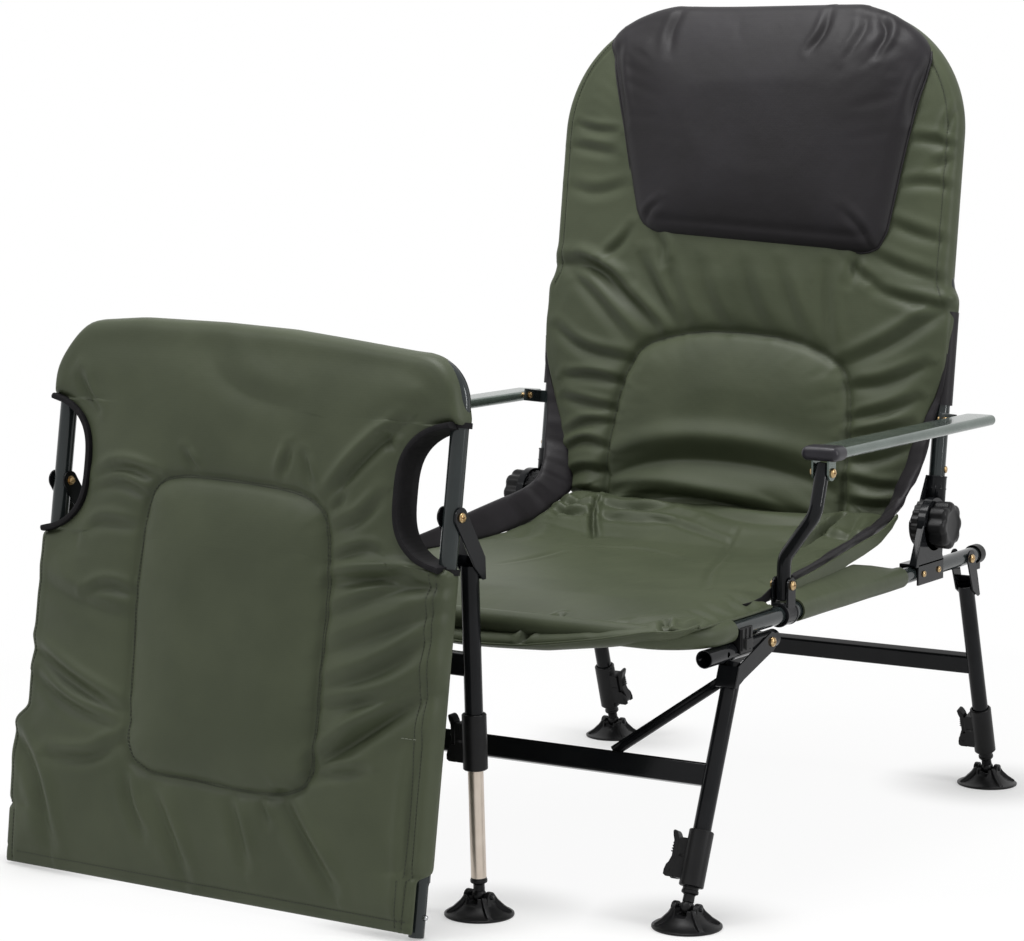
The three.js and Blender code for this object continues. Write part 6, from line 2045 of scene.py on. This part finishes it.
arch_line = resampled(soften([p for p in ARCH if p[1] > 10]), 5)
hem_side = [(x - 15, z) for x, z in edge_line[::5] if 276 < z < 605]
lines = [arch_line, *([(s * a, b) for a, b in hem_side] for s in (1, -1))]
sew("back_stitches", back_cover, lines, AT_BACK, -60, "backrest")
rest_line = resampled(soften(REST_PANEL + REST_PANEL[:1]), 5)
lines = [offset(rest_line, gap) for gap in (0.0, 2.4)]
sides, across = np.arange(12, CUT_LOW - 6, 6.0), np.arange(-280, 281, 6.0)
for sign, gap in ((1, 12), (1, 20), (-1, 12)):
    lines.append(list(zip(*stretched(sign * (rest_half(sides) - gap), sides))))
lines.append(list(zip(across, stretched(across, np.full(len(across), 18.0))[1])))
sew("footrest_stitches", rest_cover, lines, AT_PANEL, -80, "footrest")
tack = laid(rest_cover, [(a, 210.5) for a in (261, 265, 270, 274)], AT_PANEL, -80, 0.5)
stitches("footrest_tack", [tack], 3.4, 1.5, "footrest", thread)
for side, sign in SIDES:
    line = [Vector((sign * (a[0] + 1.2), a[1], a[2] + 3.4)) for a in a_line if a[1] < 100 and a[2] < 356]
    piece(f"side_panel_piping_{side}", rod(line, 0.9, 8), AT_SEAT, "chair", thread)
print("stitches done")

# %% [markdown]
# ## Studio
# A pale floor, a white surround and three large soft lamps. The lamps are low enough for each
# colour to render about as it is written. The white is what the camera, glossy paint and glass
# see of the surround, whose light on the chair is weaker.

# %% World, lamps and floor
def seen(tree):
    """1 for what the camera sees, also through glass and in reflections, and 0 for other light."""
    path = add(tree, "ShaderNodeLightPath").outputs
    straight = add(tree, "ShaderNodeMath", [(path["Is Camera Ray"], 0), (path["Is Transmission Ray"], 1)],
                   operation="MAXIMUM")
    either = add(tree, "ShaderNodeMath", [(straight.outputs[0], 0), (path["Is Glossy Ray"], 1)],
                 operation="MAXIMUM")
    return either.outputs[0]


scene.view_settings.view_transform = "Standard"
surround = bpy.data.worlds.new("studio")
scene.world = surround
surround.use_nodes = True
tree = surround.node_tree
tree.nodes.clear()
soft, white = (add(tree, "ShaderNodeBackground", Color=(1, 1, 1, 1), Strength=strength).outputs[0]
               for strength in (0.34, 1.0))
both = add(tree, "ShaderNodeMixShader", [(seen(tree), 0), (soft, 1), (white, 2)])
add(tree, "ShaderNodeOutputWorld", [(both.outputs[0], "Surface")])


def softbox(name, place, target, width, height, watts):
    """A rectangular lamp that faces a point."""
    lamp = bpy.data.lights.new(name, "AREA")
    lamp.shape, lamp.size, lamp.size_y, lamp.energy = "RECTANGLE", width, height, watts
    made = bpy.data.objects.new(name, lamp)
    scene.collection.objects.link(made)
    made.location = place
    made.rotation_euler = (Vector(target) - Vector(place)).to_track_quat("-Z", "Y").to_euler()


softbox("key_lamp", (-1.5, -2.2, 2.9), (0, 0, 0.4), 1.1, 0.9, 30)
softbox("side_lamp", (2.6, 0.1, 1.4), (0, 0, 0.4), 0.3, 1.8, 28)
softbox("top_lamp", (-0.1, -0.3, 2.8), (0, 0, 0.3), 1.2, 1.2, 56)

floor_shade, tree, shader, coords = surface("floor_paint", "#f6f6f5", 0.6, 0.0, {"Specular__IOR__Level": 0.1})
grain(tree, shader, coords, 3.0, 0.02, 0.05)
# The floor glows white, less so round each foot and tube end, where the contact shadows are
stands = []
for _, sign in SIDES:
    stands.append(AT_PANEL @ Vector((sign * HALF, 0, 0)))
    stands += [leg["at"] @ Vector((sign * HALF, leg["offset"], -leg["length"])) for leg in LEGS.values()]
nearest = None
for stand in stands:
    gap = add(tree, "ShaderNodeVectorMath", [(coords.outputs["Object"], 0)], operation="DISTANCE")
    gap.inputs[1].default_value = (stand.x / 1000, stand.y / 1000, 0)
    gap = gap.outputs["Value"]
    if nearest is not None:
        gap = add(tree, "ShaderNodeMath", [(nearest, 0), (gap, 1)], operation="MINIMUM").outputs[0]
    nearest = gap
fade = add(tree, "ShaderNodeMapRange", [(nearest, "Value")], interpolation_type="SMOOTHSTEP",
           From__Min=0.03, From__Max=0.16, To__Min=0.42, To__Max=0.93)
away = add(tree, "ShaderNodeVectorMath", [(coords.outputs["Object"], 0)], operation="LENGTH")
far = add(tree, "ShaderNodeMapRange", [(away.outputs["Value"], "Value")],
          interpolation_type="SMOOTHSTEP", From__Min=0.5, From__Max=1.5)
share = add(tree, "ShaderNodeMath", [(fade.outputs["Result"], 0), (far.outputs["Result"], 1)],
            operation="MAXIMUM")
only = add(tree, "ShaderNodeMath", [(share.outputs[0], 0), (seen(tree), 1)], operation="MULTIPLY")
glow = add(tree, "ShaderNodeEmission", Color=(1, 1, 1, 1), Strength=1.0)
both = add(tree, "ShaderNodeMixShader", [(only.outputs[0], 0), (shader.outputs[0], 1), (glow.outputs[0], 2)])
output = next(n for n in tree.nodes if n.type == "OUTPUT_MATERIAL")
tree.links.new(both.outputs[0], output.inputs["Surface"])
mesh = bpy.data.meshes.new("floor")
mesh.from_pydata([(-20, -20, 0), (20, -20, 0), (20, 20, 0), (-20, 20, 0)], [], [(0, 1, 2, 3)])
mesh.materials.append(floor_shade)
floor = bpy.data.objects.new("floor", mesh)
scene.collection.objects.link(floor)
floor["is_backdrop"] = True
print("lamps", len(bpy.data.lights), "and the floor")

# %% Print the visual box
low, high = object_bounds()
print("visual box", [round(v, 4) for v in (*low, *high)])
